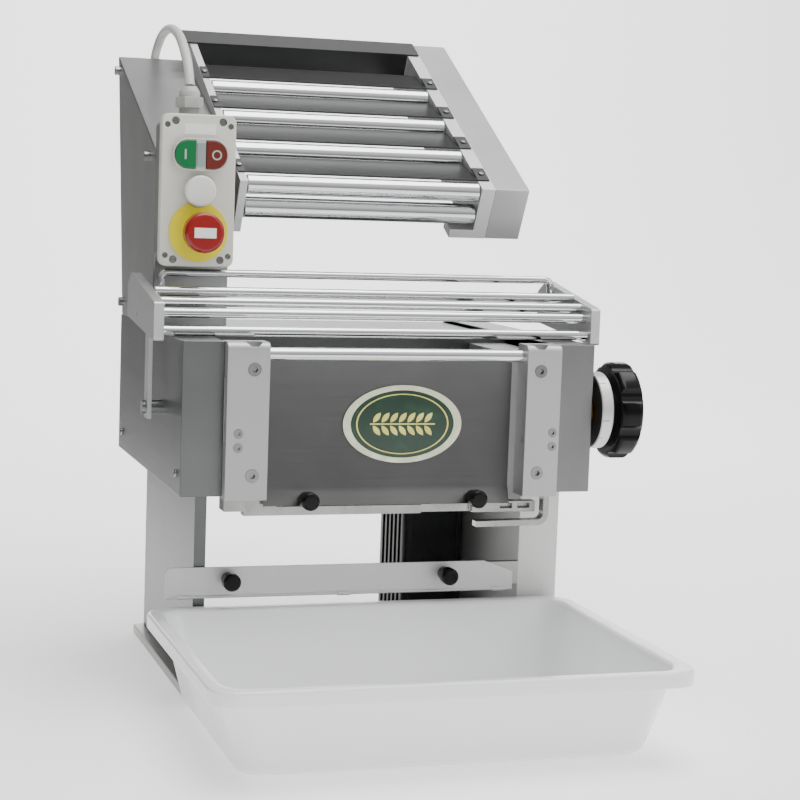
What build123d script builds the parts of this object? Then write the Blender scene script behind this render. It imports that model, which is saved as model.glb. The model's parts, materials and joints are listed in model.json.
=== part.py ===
from build123d import *

import os
from math import asin, atan2, cos, hypot, pi, radians, sin, tan

# Bench machine that rolls dough into sheets. Millimetres, +Z up, +Y to the back, +X to the right.
# The origin is the middle of the bench face, under the base plate.

# ---- driving dimensions --------------------------------------------------------------------
SHEET = 1.5                    # stainless sheet of the covers
CLEAR = 0.15                   # running gap on a radius or beside a sliding face

# Housing of the calibrating rollers
HOUSING_HALF = 212.5           # half of the width over both side covers
HOUSING_FRONT = -197.0
HOUSING_BACK = 165.0
HOUSING_LOW = 210.0
HOUSING_TOP = 361.0
CHEEK_OUT = 171.5              # outer face of the bearing cheeks, and inner edge of the covers
CHEEK_IN = 128.5               # inner face of the bearing cheeks, at the roller ends
FRAME_IN = 172.5               # side frame plates stand just outside the cheeks
FRAME_OUT = 184.5
FRAME_Y = (-183.0, 155.0)       # side frame plates inside the covers
FRAME_TOP = 340.0
BLOCK_FRONT = -211.0           # front blocks stand 14 mm proud of the covers
BLOCK_BACK = -183.0
BLOCK_X = ((-CHEEK_OUT, -130.0), (135.0, CHEEK_OUT))
BLOCK_SCREW_X = (-145.0, 149.5)     # two large screws in each front block
BLOCK_SCREW_Z = (335.0, 232.0)
BLOCK_SCREW_R = 6.5
SIDE_SCREW_X = (-159.5, 164.5)      # and two small ones beside them
SIDE_SCREW_Z = (273.0, 259.0)
SIDE_SCREW_R = 4.5
CHEEK_BACK = -50.0
CHEEK_Z = (214.0, 350.0)
REAR_COVER_TOP = HOUSING_TOP - 4

# Front panel, folded forward at its foot
PANEL_FACE = -184.0
PANEL_Z = (216.0, 343.0)
PANEL_FOOT = (-191.0, 199.0)
PANEL_KNOBS = (-86.0, 88.0)
PANEL_KNOB_Z = 206.0
PANEL_KNOB_BACK = -191.2
BADGE_SIZE = (62.0, 39.0)      # half axes
BADGE_X = 13.5
BADGE_Z = 279.0
GUIDE_BAR_Y = -197.0
GUIDE_BAR_Z = 349.0
GUIDE_BAR_R = 6.5

# Legs and base
LEG_FRONT = -135.0
LEG_BACK = 136.0
BASE_THICK = 10.0
RIGHT_LEG_X = (162.5, 206.5)
BASE_X = (-196.0, 212.5)
BASE_Y = (-169.0, 140.0)

# Calibrating rollers
ROLLER_R = 30.0
ROLLER_HALF = 127.0
ROLLER_Z = 297.0
REAR_ROLLER_Y = -84.0
ROLLER_GAP = 1.0               # gap at rest, the thinnest sheet
GAP_TRAVEL = 5.0
JOURNAL_R = 10.0
BUSH_R = 15.0
BORE_PLAY = 0.05               # added to a bearing bore's radius
BEARING_HALF = (20.0, 25.0)    # half length and half height of the sliding bearings
FRONT_ROLLER_Y = REAR_ROLLER_Y - 2 * ROLLER_R - ROLLER_GAP

# Gears that turn the two rollers against each other
GEAR_TEETH = 15
GEAR_MODULE = 4.0
GEAR_TIP = 4.4                 # long teeth stay in mesh while the gap opens
GEAR_ROOT = 5.6
GEAR_X = (-203.0, -187.0)

# Thickness adjuster
WHEEL_Y = -172.0
WHEEL_Z = 291.7
SPINDLE_R = 8.0
CAM_X = (190.0, 200.0)
CAM_RADIUS = 17.0
WHEEL_TURN = 300.0             # degrees for the whole travel
RING_X = (218.5, 231.5)
RING_R = 39.5
WHEEL_X = (237.0, 261.0)
WHEEL_R = 50.0
WHEEL_LOBES = 8
SPINDLE_BUSH_X = (204.0, 217.8)
SPINDLE_BUSH_R = 12.0

# Scraper carrier and the bent bar beside it
CARRIER_Y = (-183.0, -171.0)
CARRIER_Z = (188.0, 197.0)
CARRIER_GAP = (37.0, 92.0)     # only a thin web joins the two bars here
CARRIER_END = 160.0
CARRIER_FOOT_X = 146.0
CARRIER_LUG_X = 112.0
CARRIER_LUG_BACK = -160.0
CARRIER_LUG_TOP = 214.0
CARRIER_SLOTS = ((122.0, 135.0), (141.0, 154.0))
HANGER_Y = -190.0
HANGER_CORNER = (167.0, 179.0)
HANGER_END = (92.0, 178.0)

# Gear motor and belts
MOTOR_X = (92.0, 160.0)
MOTOR_Y = (38.0, 138.0)
MOTOR_TOP = 206.0
GEARBOX_TOP = 320.0
MOTOR_SHAFT_Y = 60.0
MOTOR_SHAFT_Z = 285.0
BELT_X = (188.5, 199.5)
BELT_THICK = 3.0
REAR_PULLEY_R = 24.0
MOTOR_PULLEY_R = 17.0
MOTOR_SHAFT_R = 8.0

# Column and infeed table
COLUMN_X = (-HOUSING_HALF, -134.5)
COLUMN_FRONT = -32.0
COLUMN_FRONT_TOP = 541.6
COLUMN_BACK_FOOT = 159.5       # the back leans outwards from here
COLUMN_BACK_TOP = (218.0, 651.0)
COLUMN_WALL = 2.0
COLUMN_BOLTS = ((148.0, 376.0), (4.8, 537.0), (204.0, 634.0))
SLOPE = 29.0                   # degrees, of the infeed table
TABLE_FRONT_Y = -80.0
TABLE_FRONT_Z = 515.0
TABLE_LENGTH = 348.0
TABLE_DEEP = 60.0
TABLE_LEFT = (-134.5, -126.5)
TABLE_RIGHT = (126.5, 141.5)
TABLE_COVER = (141.5, 180.0)
TABLE_ROLLER_R = 10.0
TABLE_ROLLER_DEEP = 9.5        # roller centres below the table plane
TABLE_ROLLER_PITCH = 71.0
TABLE_ROLLER_FIRST = 10.0
TABLE_ROLLERS = 4
NIP_ROLLER_DEEP = 36.0
NIP_ROLLER_R = 11.0
TABLE_SHAFT_R = 4.0
TABLE_BELT_X = (152.0, 160.0)
TABLE_PULLEY_R = 5.0
TABLE_BELT_THICK = 2.0
FLANGE_AT = 317.0              # folded front edge of the top plate of the table
SLAT_LEAN = -10.5              # degrees; each slat falls away towards the roller behind it
SLAT_THICK = 2.0
SLAT_FRONT = 7.5               # from the middle of a roller to the slat behind it
TAB_LONG = 26.0
TAB_OVER = 13.0                # reach of a tab past the inside of the side plate
SLAT_RAISED = 1.6              # front edge of a slat above the table plane, and thickness of its tabs

# Control box on the front of the column
BOX_X = (-213.0, -147.0)
BOX_Z = (434.0, 572.0)
LID_X = (-218.0, -142.5)
LID_Y = (-92.0, -80.0)
LID_Z = (427.0, 579.0)
BUTTON_X = -179.5
TWIN_Z = 539.0
RESET_Z = 503.0
STOP_Z = 462.0
STEM_R = 11.0                  # button bodies in the lid
STOP_STEM_R = 10.0
TWIN_SIZE = (57.5, 32.5)
TWIN_WELL = (53.5, 28.5)
STOP_REACH = 38.0              # from the lid to the front of the mushroom head
LID_SCREWS = ((24.0, 69.0, 4.0), (32.0, 65.0, 3.0))     # from the lid's middle, and the radius
TWIN_LENS_HALF = 5.0

# Supply cable of the control box: out of its top, over the column and into the column's back
CABLE_R = 5.0
CABLE_X = -184.0
GLAND_Y = -56.0
GLAND_TOP = 608.0
GLAND_R = 10.5
REAR_GLAND_X = -163.0
REAR_GLAND_Z = 560.0
REAR_GLAND_LONG = 22.0
CABLE_ROUTE = ((CABLE_X, GLAND_Y, GLAND_TOP), (-184, -48, 626), (-183, -22, 644), (-182, 8, 660),
               (-180, 48, 671), (-177, 98, 677), (-172, 156, 677), (-168, 205, 672), (-165, 262, 650))
CABLE_LEAD = 53.0              # straight run that the last arc is cut from, past the rear gland

# Guard over the rollers
GUARD_PIVOT_Y = -90.0
GUARD_PIVOT_Z = 285.0
GUARD_IN = 224.0
GUARD_OUT = 234.0
GUARD_ARM = 4.0
GUARD_BOLT_R = 4.0
GUARD_BAR_Y = -70.0
GUARD_BAR_Z = (400.0, 420.0)
ROD_R = 5.0
GUARD_RODS = ((-105.0, 403.0), (-128.0, 394.0), (-141.0, 384.0), (-149.0, 367.0))

# Deflector and catch tray
DEFLECTOR_X = (-213.5, 155.5)
DEFLECTOR_Y = -137.0
DEFLECTOR_Z = (99.0, 129.0)
DEFLECTOR_THICK = 2.0
DEFLECTOR_BARRELS = (-195.0, -28.0, 140.0)
DEFLECTOR_KNOBS = (-150.0, 79.0)
DEFLECTOR_KNOB_Z = 117.0
TRAY_MIDDLE_X = -10.0
TRAY_MIDDLE_Y = -306.0
TRAY_TOP = (451.0, 336.0)      # over the rim
TRAY_BOTTOM = (383.0, 254.0)
TRAY_HIGH = 90.0
TRAY_WALL = 3.0
TRAY_LIP = 14.0                # height of the turned-down rim

PARTS = {}


# ---- shapes used again and again -----------------------------------------------------------
def block(x, y, z):
    """Box between the low and high value of each axis."""
    size = [high - low for low, high in (x, y, z)]
    middle = [(high + low) / 2 for low, high in (x, y, z)]
    return Pos(*middle) * Box(*size)


def rod_x(x, y, z, radius):
    """Round rod along X between two values of x, and so on for the other axes."""
    return Pos((x[0] + x[1]) / 2, y, z) * Rot(0, 90, 0) * Cylinder(radius, x[1] - x[0])


def rod_y(x, y, z, radius):
    return Pos(x, (y[0] + y[1]) / 2, z) * Rot(90, 0, 0) * Cylinder(radius, y[1] - y[0])


def rod_z(x, y, z, radius):
    return Pos(x, y, (z[0] + z[1]) / 2) * Cylinder(radius, z[1] - z[0])


def side_profile(corners, x):
    """Plate across X whose outline is given as (y, z) corners."""
    outline = Plane.YZ.offset(x[0]) * make_face(Polyline(*corners, close=True))
    return extrude(outline, x[1] - x[0])


def front_profile(corners, y):
    """Plate across Y whose outline is given as (x, z) corners."""
    outline = Plane.XZ.offset(-y[0]) * make_face(Polyline(*corners, close=True))
    return extrude(outline, y[1] - y[0], dir=(0, 1, 0))


def rounded_plate(x, y, z, radius):
    """Plate facing the front with its four corners rounded."""
    outline = Pos((x[0] + x[1]) / 2, y[0], (z[0] + z[1]) / 2) * Rot(90, 0, 0) * RectangleRounded(
        x[1] - x[0], z[1] - z[0], radius)
    return extrude(outline, y[1] - y[0], dir=(0, 1, 0))


def both_sides(low, high):
    """The same stretch of X on the left and on the right of the machine."""
    return (-high, -low), (low, high)


def socket_screw_y(x, front, z, radius, head, hollow):
    """Socket head seen from the front, its face at y = front and head long."""
    body = rod_y(x, (front, front + head), z, radius)
    socket = Pos(x, front, z) * Rot(-90, 0, 0) * extrude(RegularPolygon(hollow, 6), head * 0.6)
    return body - socket


# Sloping frame of the infeed table: X across, Y up the slope, Z out of the table
TABLE = Plane(
    origin=(0, TABLE_FRONT_Y, TABLE_FRONT_Z),
    x_dir=(1, 0, 0),
    z_dir=(0, -sin(radians(SLOPE)), cos(radians(SLOPE))))


# ---- base, legs, frames --------------------------------------------------------------------
def base_plate():
    plate = block(BASE_X, BASE_Y, (0, BASE_THICK))
    return fillet(plate.edges().filter_by(Axis.Z), 4)


def left_side_frame():
    """One 12 mm plate from the base up into the left cover."""
    waist = side_profile(
        [(LEG_FRONT, BASE_THICK), (LEG_BACK, BASE_THICK), (LEG_BACK, HOUSING_LOW), (FRAME_Y[1], HOUSING_LOW),
         (FRAME_Y[1], FRAME_TOP), (FRAME_Y[0], FRAME_TOP),
         (FRAME_Y[0], HOUSING_LOW), (LEG_FRONT, HOUSING_LOW)],
        (-FRAME_OUT, -FRAME_IN))
    return waist - frame_window((-FRAME_OUT, -FRAME_IN))


def right_side_frame():
    plate = block((FRAME_IN, FRAME_OUT), FRAME_Y, (HOUSING_LOW, FRAME_TOP))
    plate -= frame_window((FRAME_IN, FRAME_OUT))
    return plate - rod_x((FRAME_IN, FRAME_OUT), MOTOR_SHAFT_Y, MOTOR_SHAFT_Z, 12)


def frame_window(x):
    """Opening in a side frame for the bearings and the adjuster."""
    return block(x, (-176, -56), (258, 334))


def right_leg():
    """Square tube with 2 mm walls, open at both ends."""
    outside = block(RIGHT_LEG_X, (LEG_FRONT, LEG_BACK), (BASE_THICK, HOUSING_LOW))
    inside = block(
        (RIGHT_LEG_X[0] + 2, RIGHT_LEG_X[1] - 2), (LEG_FRONT + 2, LEG_BACK - 2), (BASE_THICK, HOUSING_LOW))
    return outside - inside


def cross_bar():
    """Flat bar between the legs that carries the deflector."""
    return block((-FRAME_IN, RIGHT_LEG_X[0]), (DEFLECTOR_Y + 0.4, DEFLECTOR_Y + 8.4), (103, 127))


def side_cover(side):
    """Sheet box over the gears or the adjuster, open towards the rollers."""
    x = (-HOUSING_HALF, -CHEEK_OUT) if side < 0 else (CHEEK_OUT, HOUSING_HALF)
    hollow = (x[0] + SHEET, x[1]) if side < 0 else (x[0], x[1] - SHEET)
    cover = block(x, (HOUSING_FRONT, HOUSING_BACK), (HOUSING_LOW, HOUSING_TOP))
    cover = fillet(cover.edges().filter_by(Axis.Y).group_by(Axis.Z)[-1], 1.2)
    cover -= block(
        hollow, (HOUSING_FRONT + SHEET, HOUSING_BACK - SHEET), (HOUSING_LOW + SHEET, HOUSING_TOP - SHEET))
    slot = (-FRAME_OUT - 0.2, -CHEEK_OUT) if side < 0 else (CHEEK_OUT, FRAME_OUT + 0.2)
    cover -= block(slot, (FRAME_Y[0] - 0.2, FRAME_Y[1] + 0.2), (HOUSING_LOW, HOUSING_LOW + SHEET))
    return cover


def left_side_cover():
    return side_cover(-1)


def right_side_cover():
    hole = rod_x((HOUSING_HALF - 3, HOUSING_HALF), WHEEL_Y, WHEEL_Z, SPINDLE_BUSH_R)
    return side_cover(1) - hole


def rear_cover():
    """One bent sheet that closes the top behind the rollers and the back."""
    x = (-CHEEK_OUT, CHEEK_OUT)
    front = CHEEK_BACK + 1
    top = block(x, (front, HOUSING_BACK), (REAR_COVER_TOP - SHEET, REAR_COVER_TOP))
    back = block(x, (HOUSING_BACK - SHEET, HOUSING_BACK), (HOUSING_LOW, REAR_COVER_TOP))
    lip = block(x, (front, front + SHEET), (REAR_COVER_TOP - 16, REAR_COVER_TOP))
    return top + back + lip


# ---- bearing cheeks, front blocks, front panel ---------------------------------------------
def front_block(side):
    """Aluminium block on the front of the cheek, with a rounded top edge and a scooped screw seat."""
    at = 0 if side < 0 else 1
    x = BLOCK_X[at]
    shape = block(x, (BLOCK_FRONT, BLOCK_BACK), (HOUSING_LOW - 2, HOUSING_TOP))
    shape = fillet(shape.edges().filter_by(Axis.X).group_by(Axis.Y)[0].group_by(Axis.Z)[-1], 7)
    shape -= rod_z(BLOCK_SCREW_X[at], BLOCK_FRONT + 9, (HOUSING_TOP - 5, HOUSING_TOP), 9)
    for inner in (x[0], x[1] - 3):
        shape -= block((inner, inner + 3), (BLOCK_FRONT + 6, BLOCK_FRONT + 13), (262, 326))
    for z in BLOCK_SCREW_Z:
        shape -= rod_y(BLOCK_SCREW_X[at], (BLOCK_FRONT, BLOCK_FRONT + 5), z, BLOCK_SCREW_R + 0.1)
    for z in SIDE_SCREW_Z:
        shape -= rod_y(SIDE_SCREW_X[at], (BLOCK_FRONT, BLOCK_FRONT + 3), z, SIDE_SCREW_R + 0.1)
    return shape


def bearing_cheek(side):
    """Thick cheek with a window for the sliding bearing and a bore for the fixed one."""
    x = (-CHEEK_OUT, -CHEEK_IN) if side < 0 else (CHEEK_IN, CHEEK_OUT)
    cheek = block(x, (BLOCK_BACK, CHEEK_BACK), CHEEK_Z)
    long, high = BEARING_HALF
    window_y = (FRONT_ROLLER_Y - long - GAP_TRAVEL - 2, FRONT_ROLLER_Y + long + 1)
    cheek -= block(x, window_y, (ROLLER_Z - high, ROLLER_Z + high))
    return cheek - rod_x(x, REAR_ROLLER_Y, ROLLER_Z, BUSH_R)


def roller_bushes():
    """Two bronze bushes of the rear roller and the flanged bush of the adjuster spindle."""
    rings = []
    for x in both_sides(CHEEK_IN, CHEEK_OUT):
        bore = rod_x(x, REAR_ROLLER_Y, ROLLER_Z, JOURNAL_R + BORE_PLAY)
        rings.append(rod_x(x, REAR_ROLLER_Y, ROLLER_Z, BUSH_R) - bore)
    inner, outer = SPINDLE_BUSH_X
    seat = rod_x((inner, HOUSING_HALF), WHEEL_Y, WHEEL_Z, SPINDLE_BUSH_R)
    seat += rod_x((HOUSING_HALF, outer), WHEEL_Y, WHEEL_Z, SPINDLE_BUSH_R + 4)
    rings.append(seat - rod_x(SPINDLE_BUSH_X, WHEEL_Y, WHEEL_Z, SPINDLE_R + BORE_PLAY))
    return Compound(children=rings)


def front_panel():
    """Brushed panel between the blocks, folded forward along its foot."""
    face, (low, high), (foot_y, foot_z) = PANEL_FACE, PANEL_Z, PANEL_FOOT
    profile = [(face, high), (face, low), (foot_y, foot_z),
               (foot_y + 1.4, foot_z - 0.6), (face + SHEET, low - 0.4),
               (face + SHEET, high - SHEET), (face + 12, high - SHEET), (face + 12, high)]
    panel = side_profile(profile, (-CHEEK_IN + 0.3, CHEEK_IN - 0.3))
    for knob_x in PANEL_KNOBS:
        panel -= rod_y(knob_x, (face - 12, face + 2), PANEL_KNOB_Z, 4.2)
    return panel


def scraper_carrier():
    """Bars under the rollers that hold the two scrapers, with lugs up to the cheeks and slotted feet."""
    front, back = CARRIER_Y
    low, high = CARRIER_Z
    bars = block((-CHEEK_IN, CARRIER_GAP[0]), CARRIER_Y, CARRIER_Z)
    bars += block((CARRIER_GAP[1], CARRIER_END), CARRIER_Y, (low, high + 2))
    bars += block(CARRIER_GAP, (back - 4, back), CARRIER_Z)
    for x in both_sides(CARRIER_LUG_X, CHEEK_IN):
        bars += block(x, (front, CARRIER_LUG_BACK), (high, CARRIER_LUG_TOP))
    bars += block((-CARRIER_END - 8, -CARRIER_FOOT_X), (front - 9, back), (low + 6, HOUSING_LOW - 2))
    bars += block((-CARRIER_FOOT_X, -CHEEK_IN), CARRIER_Y, (low, high + 9))
    for x in CARRIER_SLOTS:
        bars -= block(x, (front, front + 6), (low + 4, low + 9))
    return bars


def scrapers():
    """Two plastic blades that lie against the rollers from below."""
    blades = []
    top_z = ROLLER_Z - ROLLER_R - 2.5
    for roller_y in (FRONT_ROLLER_Y - GAP_TRAVEL, REAR_ROLLER_Y):
        blades.append(block((-112, 112), (roller_y - 4, roller_y + 4), (top_z - 26, top_z)))
    return Compound(children=blades)


def guide_bar():
    """Round bar in front of the rollers, held between the two front blocks."""
    return rod_x((BLOCK_X[0][1], BLOCK_X[1][0]), GUIDE_BAR_Y, GUIDE_BAR_Z, GUIDE_BAR_R)


def hanger_bar():
    """Flat bar bent to a J under the right block, which holds the dough deflector of the rollers."""
    (end, high), (corner, low) = HANGER_END, HANGER_CORNER
    path = FilletPolyline(
        (corner, HANGER_Y, HOUSING_LOW - 2), (corner, HANGER_Y, low), (end, HANGER_Y, high), radius=9)
    section = Plane(origin=path @ 0, z_dir=path % 0, x_dir=(0, 1, 0)) * Rectangle(12, 6)
    return sweep(section, path=path)


def panel_badge():
    """Plain oval plate, slightly domed."""
    plate = Pos(BADGE_X, PANEL_FACE, BADGE_Z) * Rot(90, 0, 0) * extrude(Ellipse(*BADGE_SIZE), 1.4)
    return fillet(plate.edges().group_by(Axis.Y)[0], 0.8)


# ---- rollers, gears, adjuster --------------------------------------------------------------
def gear(y, x):
    """Spur gear with long, slim teeth; the first tooth points along +Y."""
    pitch_r = GEAR_MODULE * GEAR_TEETH / 2
    step = 2 * pi / GEAR_TEETH
    ring = ((pitch_r - GEAR_ROOT, 0.30), (pitch_r, 0.19), (pitch_r + GEAR_TIP, 0.07))
    corners = []
    for tooth in range(GEAR_TEETH):
        middle = tooth * step
        flank = [(r, middle - share * step) for r, share in ring]
        flank += [(r, middle + share * step) for r, share in reversed(ring)]
        corners += [(y + r * cos(a), ROLLER_Z + r * sin(a)) for r, a in flank]
    return side_profile(corners, x)


def front_roller():
    """Sliding roller, with the journal of its gear on the left."""
    barrel = rod_x((-ROLLER_HALF, ROLLER_HALF), FRONT_ROLLER_Y, ROLLER_Z, ROLLER_R)
    barrel = chamfer(barrel.edges().filter_by(GeomType.CIRCLE), 1)
    return barrel + rod_x((GEAR_X[0], CHEEK_OUT - 1), FRONT_ROLLER_Y, ROLLER_Z, JOURNAL_R)


def rear_roller():
    """Fixed roller, driven at its right end, with the journal of its gear on the left."""
    barrel = rod_x((-ROLLER_HALF, ROLLER_HALF), REAR_ROLLER_Y, ROLLER_Z, ROLLER_R)
    barrel = chamfer(barrel.edges().filter_by(GeomType.CIRCLE), 1)
    return barrel + rod_x((GEAR_X[0], BELT_X[1] + 1), REAR_ROLLER_Y, ROLLER_Z, JOURNAL_R)


def front_gear():
    return gear(FRONT_ROLLER_Y, GEAR_X) - rod_x(GEAR_X, FRONT_ROLLER_Y, ROLLER_Z, JOURNAL_R)


def rear_gear_and_pulley():
    """The gear on the left end of the rear roller, and the belt pulley on its right end."""
    wheel = gear(REAR_ROLLER_Y, GEAR_X) - rod_x(GEAR_X, REAR_ROLLER_Y, ROLLER_Z, JOURNAL_R)
    driven = pulley(REAR_ROLLER_Y, ROLLER_Z, REAR_PULLEY_R)
    driven -= rod_x((BELT_X[0] - 2, BELT_X[1] + 1), REAR_ROLLER_Y, ROLLER_Z, JOURNAL_R)
    return Compound(children=[wheel, driven])


def pulley(y, z, radius):
    """Flat pulley with two rims that keep the belt on."""
    rim = radius + 2
    body = rod_x(BELT_X, y, z, radius)
    body += rod_x((BELT_X[0] - 1.5, BELT_X[0] - 0.3), y, z, rim)
    body += rod_x((BELT_X[0] - 0.3, BELT_X[0]), y, z, radius)
    return body


def motor_pulley():
    """Pulley and output shaft of the gear motor."""
    shaft = rod_x((160.3, BELT_X[0]), MOTOR_SHAFT_Y, MOTOR_SHAFT_Z, MOTOR_SHAFT_R)
    return pulley(MOTOR_SHAFT_Y, MOTOR_SHAFT_Z, MOTOR_PULLEY_R) + shaft


def belt_outline(first, second, first_r, second_r):
    """Open belt round two circles, as the outer shape of both circles and their tangents."""
    (y1, z1), (y2, z2) = first, second
    lean = asin((first_r - second_r) / hypot(y2 - y1, z2 - z1))
    heading = atan2(z2 - z1, y2 - y1)
    corners = []
    stops = ((1, first, first_r), (1, second, second_r), (-1, second, second_r), (-1, first, first_r))
    for turn, (y, z), r in stops:
        angle = heading + turn * (pi / 2 - lean)
        corners.append((y + r * cos(angle), z + r * sin(angle)))
    strip = make_face(Polyline(*corners, close=True))
    return strip + Pos(y1, z1) * Circle(first_r) + Pos(y2, z2) * Circle(second_r)


def belt(x, first, second, first_r, second_r, thick):
    outside = belt_outline(first, second, first_r + thick, second_r + thick)
    inside = belt_outline(first, second, first_r + 0.2, second_r + 0.2)
    ring = Plane.YZ.offset(x[0]) * (outside - inside)
    return extrude(ring, x[1] - x[0])


def drive_belts():
    """The main belt from the gear motor, and the belt that turns the infeed rollers."""
    main = belt(BELT_X, (REAR_ROLLER_Y, ROLLER_Z), (MOTOR_SHAFT_Y, MOTOR_SHAFT_Z),
                REAR_PULLEY_R, MOTOR_PULLEY_R, BELT_THICK)
    ends = [table_point(table_roller_at(i), -TABLE_ROLLER_DEEP) for i in (0, TABLE_ROLLERS - 1)]
    infeed = belt(TABLE_BELT_X, *ends, TABLE_PULLEY_R, TABLE_PULLEY_R, TABLE_BELT_THICK)
    return Compound(children=[main, infeed])


def sliding_bearings():
    """Two blocks that carry the front roller; the right one has the cam follower."""
    blocks = []
    long, high = BEARING_HALF
    for x in both_sides(CHEEK_IN, CHEEK_OUT):
        shape = block(x, (FRONT_ROLLER_Y - long, FRONT_ROLLER_Y + long),
                      (ROLLER_Z - high + CLEAR, ROLLER_Z + high - CLEAR))
        blocks.append(shape - rod_x(x, FRONT_ROLLER_Y, ROLLER_Z, JOURNAL_R + BORE_PLAY))
    follower_y = WHEEL_Y + CAM_RADIUS + CLEAR
    blocks[1] += block((CHEEK_OUT, CAM_X[1]), (follower_y, follower_y + 8), (ROLLER_Z + 11, ROLLER_Z + 22))
    blocks[1] += block((CAM_X[0] - 2, CAM_X[1]), (follower_y, follower_y + 8), (ROLLER_Z - 11, ROLLER_Z + 11))
    return Compound(children=blocks)


def cam():
    """Scroll cam: its radius falls evenly over the turn, then steps back."""
    drop = GAP_TRAVEL / WHEEL_TURN
    corners = []
    for degree in range(-300, 60, 5):
        if degree <= 0:
            radius = CAM_RADIUS + drop * degree
        elif degree <= 5:
            radius = CAM_RADIUS
        elif degree <= 25:
            radius = CAM_RADIUS - GAP_TRAVEL * (degree - 5) / 20
        else:
            radius = CAM_RADIUS - GAP_TRAVEL
        corners.append((WHEEL_Y + radius * cos(radians(degree)), WHEEL_Z + radius * sin(radians(degree))))
    return side_profile(corners, CAM_X)


def adjuster_spindle():
    """Spindle turned in one piece with the index ring, and the cam pinned on its inner end."""
    shaft = rod_x((CAM_X[0], WHEEL_X[0] + 6), WHEEL_Y, WHEEL_Z, SPINDLE_R)
    ring = rod_x(RING_X, WHEEL_Y, WHEEL_Z, RING_R)
    ring = chamfer(ring.edges().filter_by(GeomType.CIRCLE), 1)
    neck = rod_x((RING_X[1], WHEEL_X[0]), WHEEL_Y, WHEEL_Z, 20)
    return shaft + ring + neck + cam()


def handwheel():
    """Moulded wheel with eight finger lobes and a hub."""
    wheel = rod_x(WHEEL_X, WHEEL_Y, WHEEL_Z, WHEEL_R)
    wheel = fillet(wheel.edges().filter_by(GeomType.CIRCLE), 6)
    for lobe in range(WHEEL_LOBES):
        angle = 2 * pi * (lobe + 0.5) / WHEEL_LOBES
        reach = WHEEL_R + 6
        wheel -= rod_x(WHEEL_X, WHEEL_Y + reach * cos(angle), WHEEL_Z + reach * sin(angle), 11)
    wheel -= rod_x((WHEEL_X[1] - 6, WHEEL_X[1]), WHEEL_Y, WHEEL_Z, 27)
    wheel += rod_x((WHEEL_X[1] - 6, WHEEL_X[1] + 2), WHEEL_Y, WHEEL_Z, 12)
    return wheel - rod_x((WHEEL_X[0], WHEEL_X[0] + 6), WHEEL_Y, WHEEL_Z, SPINDLE_R)


def gear_motor():
    """Finned motor standing on the base, with the gearbox on top that reaches into the housing."""
    (left, right), (front, back) = MOTOR_X, MOTOR_Y
    motor = block(MOTOR_X, MOTOR_Y, (BASE_THICK, MOTOR_TOP))
    motor = fillet(motor.edges().filter_by(Axis.Z).group_by(Axis.X)[0], 10)
    for fin in range(5):
        y = front + 14 + fin * 15
        motor -= block((left, left + 2), (y, y + 9), (24, MOTOR_TOP - 12))
    motor -= block((left + 26, right - 6), (front, front + 1.5), (30, 150))
    motor += block((left + 4, right), (front + 2, front + 62), (MOTOR_TOP, GEARBOX_TOP))
    return motor - rod_x((right - 10, right), MOTOR_SHAFT_Y, MOTOR_SHAFT_Z, MOTOR_SHAFT_R + 0.2)


# ---- column, infeed table ------------------------------------------------------------------
def column_back(z):
    """Place of the leaning back of the column at a height."""
    back, top = COLUMN_BACK_TOP
    return COLUMN_BACK_FOOT + (back - COLUMN_BACK_FOOT) * (z - HOUSING_TOP) / (top - HOUSING_TOP)


def column_lean():
    """Angle of the back of the column from upright, in radians."""
    return atan2(COLUMN_BACK_TOP[0] - COLUMN_BACK_FOOT, COLUMN_BACK_TOP[1] - HOUSING_TOP)


def left_column():
    """Sheet box with a sloping top and a leaning back, open at its foot on the left cover."""
    back, top = COLUMN_BACK_TOP
    outline = make_face(Polyline(
        (COLUMN_FRONT, HOUSING_TOP), (COLUMN_FRONT, COLUMN_FRONT_TOP),
        (back, top), (COLUMN_BACK_FOOT, HOUSING_TOP),
        close=True))
    outside = extrude(Plane.YZ.offset(COLUMN_X[0]) * outline, COLUMN_X[1] - COLUMN_X[0])
    inner = offset(outline, amount=-COLUMN_WALL, kind=Kind.INTERSECTION)
    inside = extrude(
        Plane.YZ.offset(COLUMN_X[0] + COLUMN_WALL) * inner, COLUMN_X[1] - COLUMN_X[0] - 2 * COLUMN_WALL)
    return outside - inside


def table_roller_at(index):
    return TABLE_ROLLER_FIRST + TABLE_ROLLER_PITCH * index


def table_point(along, out):
    """(y, z) of a point given along the slope and out of the table plane."""
    slope = radians(SLOPE)
    return (TABLE_FRONT_Y + along * cos(slope) - out * sin(slope),
            TABLE_FRONT_Z + along * sin(slope) + out * cos(slope))


def table_bores(x, radius):
    """Bores for the roller shafts through a side plate."""
    places = [(table_roller_at(i), -TABLE_ROLLER_DEEP) for i in range(TABLE_ROLLERS)]
    places.append((TABLE_ROLLER_FIRST, -NIP_ROLLER_DEEP))
    bores = [rod_x(x, *table_point(*place), radius) for place in places]
    return Compound(children=bores)


def infeed_left_plate():
    """Plate bolted to the column; the shafts end in blind bores."""
    plate = TABLE * block(TABLE_LEFT, (0, TABLE_LENGTH), (-TABLE_DEEP, 0))
    return plate - table_bores((TABLE_LEFT[0] + 2, TABLE_LEFT[1]), TABLE_SHAFT_R + BORE_PLAY)


def infeed_right_plate():
    """Plate at the drive side, with a lug under its front end."""
    plate = TABLE * block(TABLE_RIGHT, (0, TABLE_LENGTH), (-TABLE_DEEP, 0))
    lug = TABLE * block((TABLE_RIGHT[0] - 26, TABLE_RIGHT[0]), (0, 22), (-TABLE_DEEP, -TABLE_DEEP + 10))
    return plate + lug - table_bores(TABLE_RIGHT, TABLE_SHAFT_R + BORE_PLAY)


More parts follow.
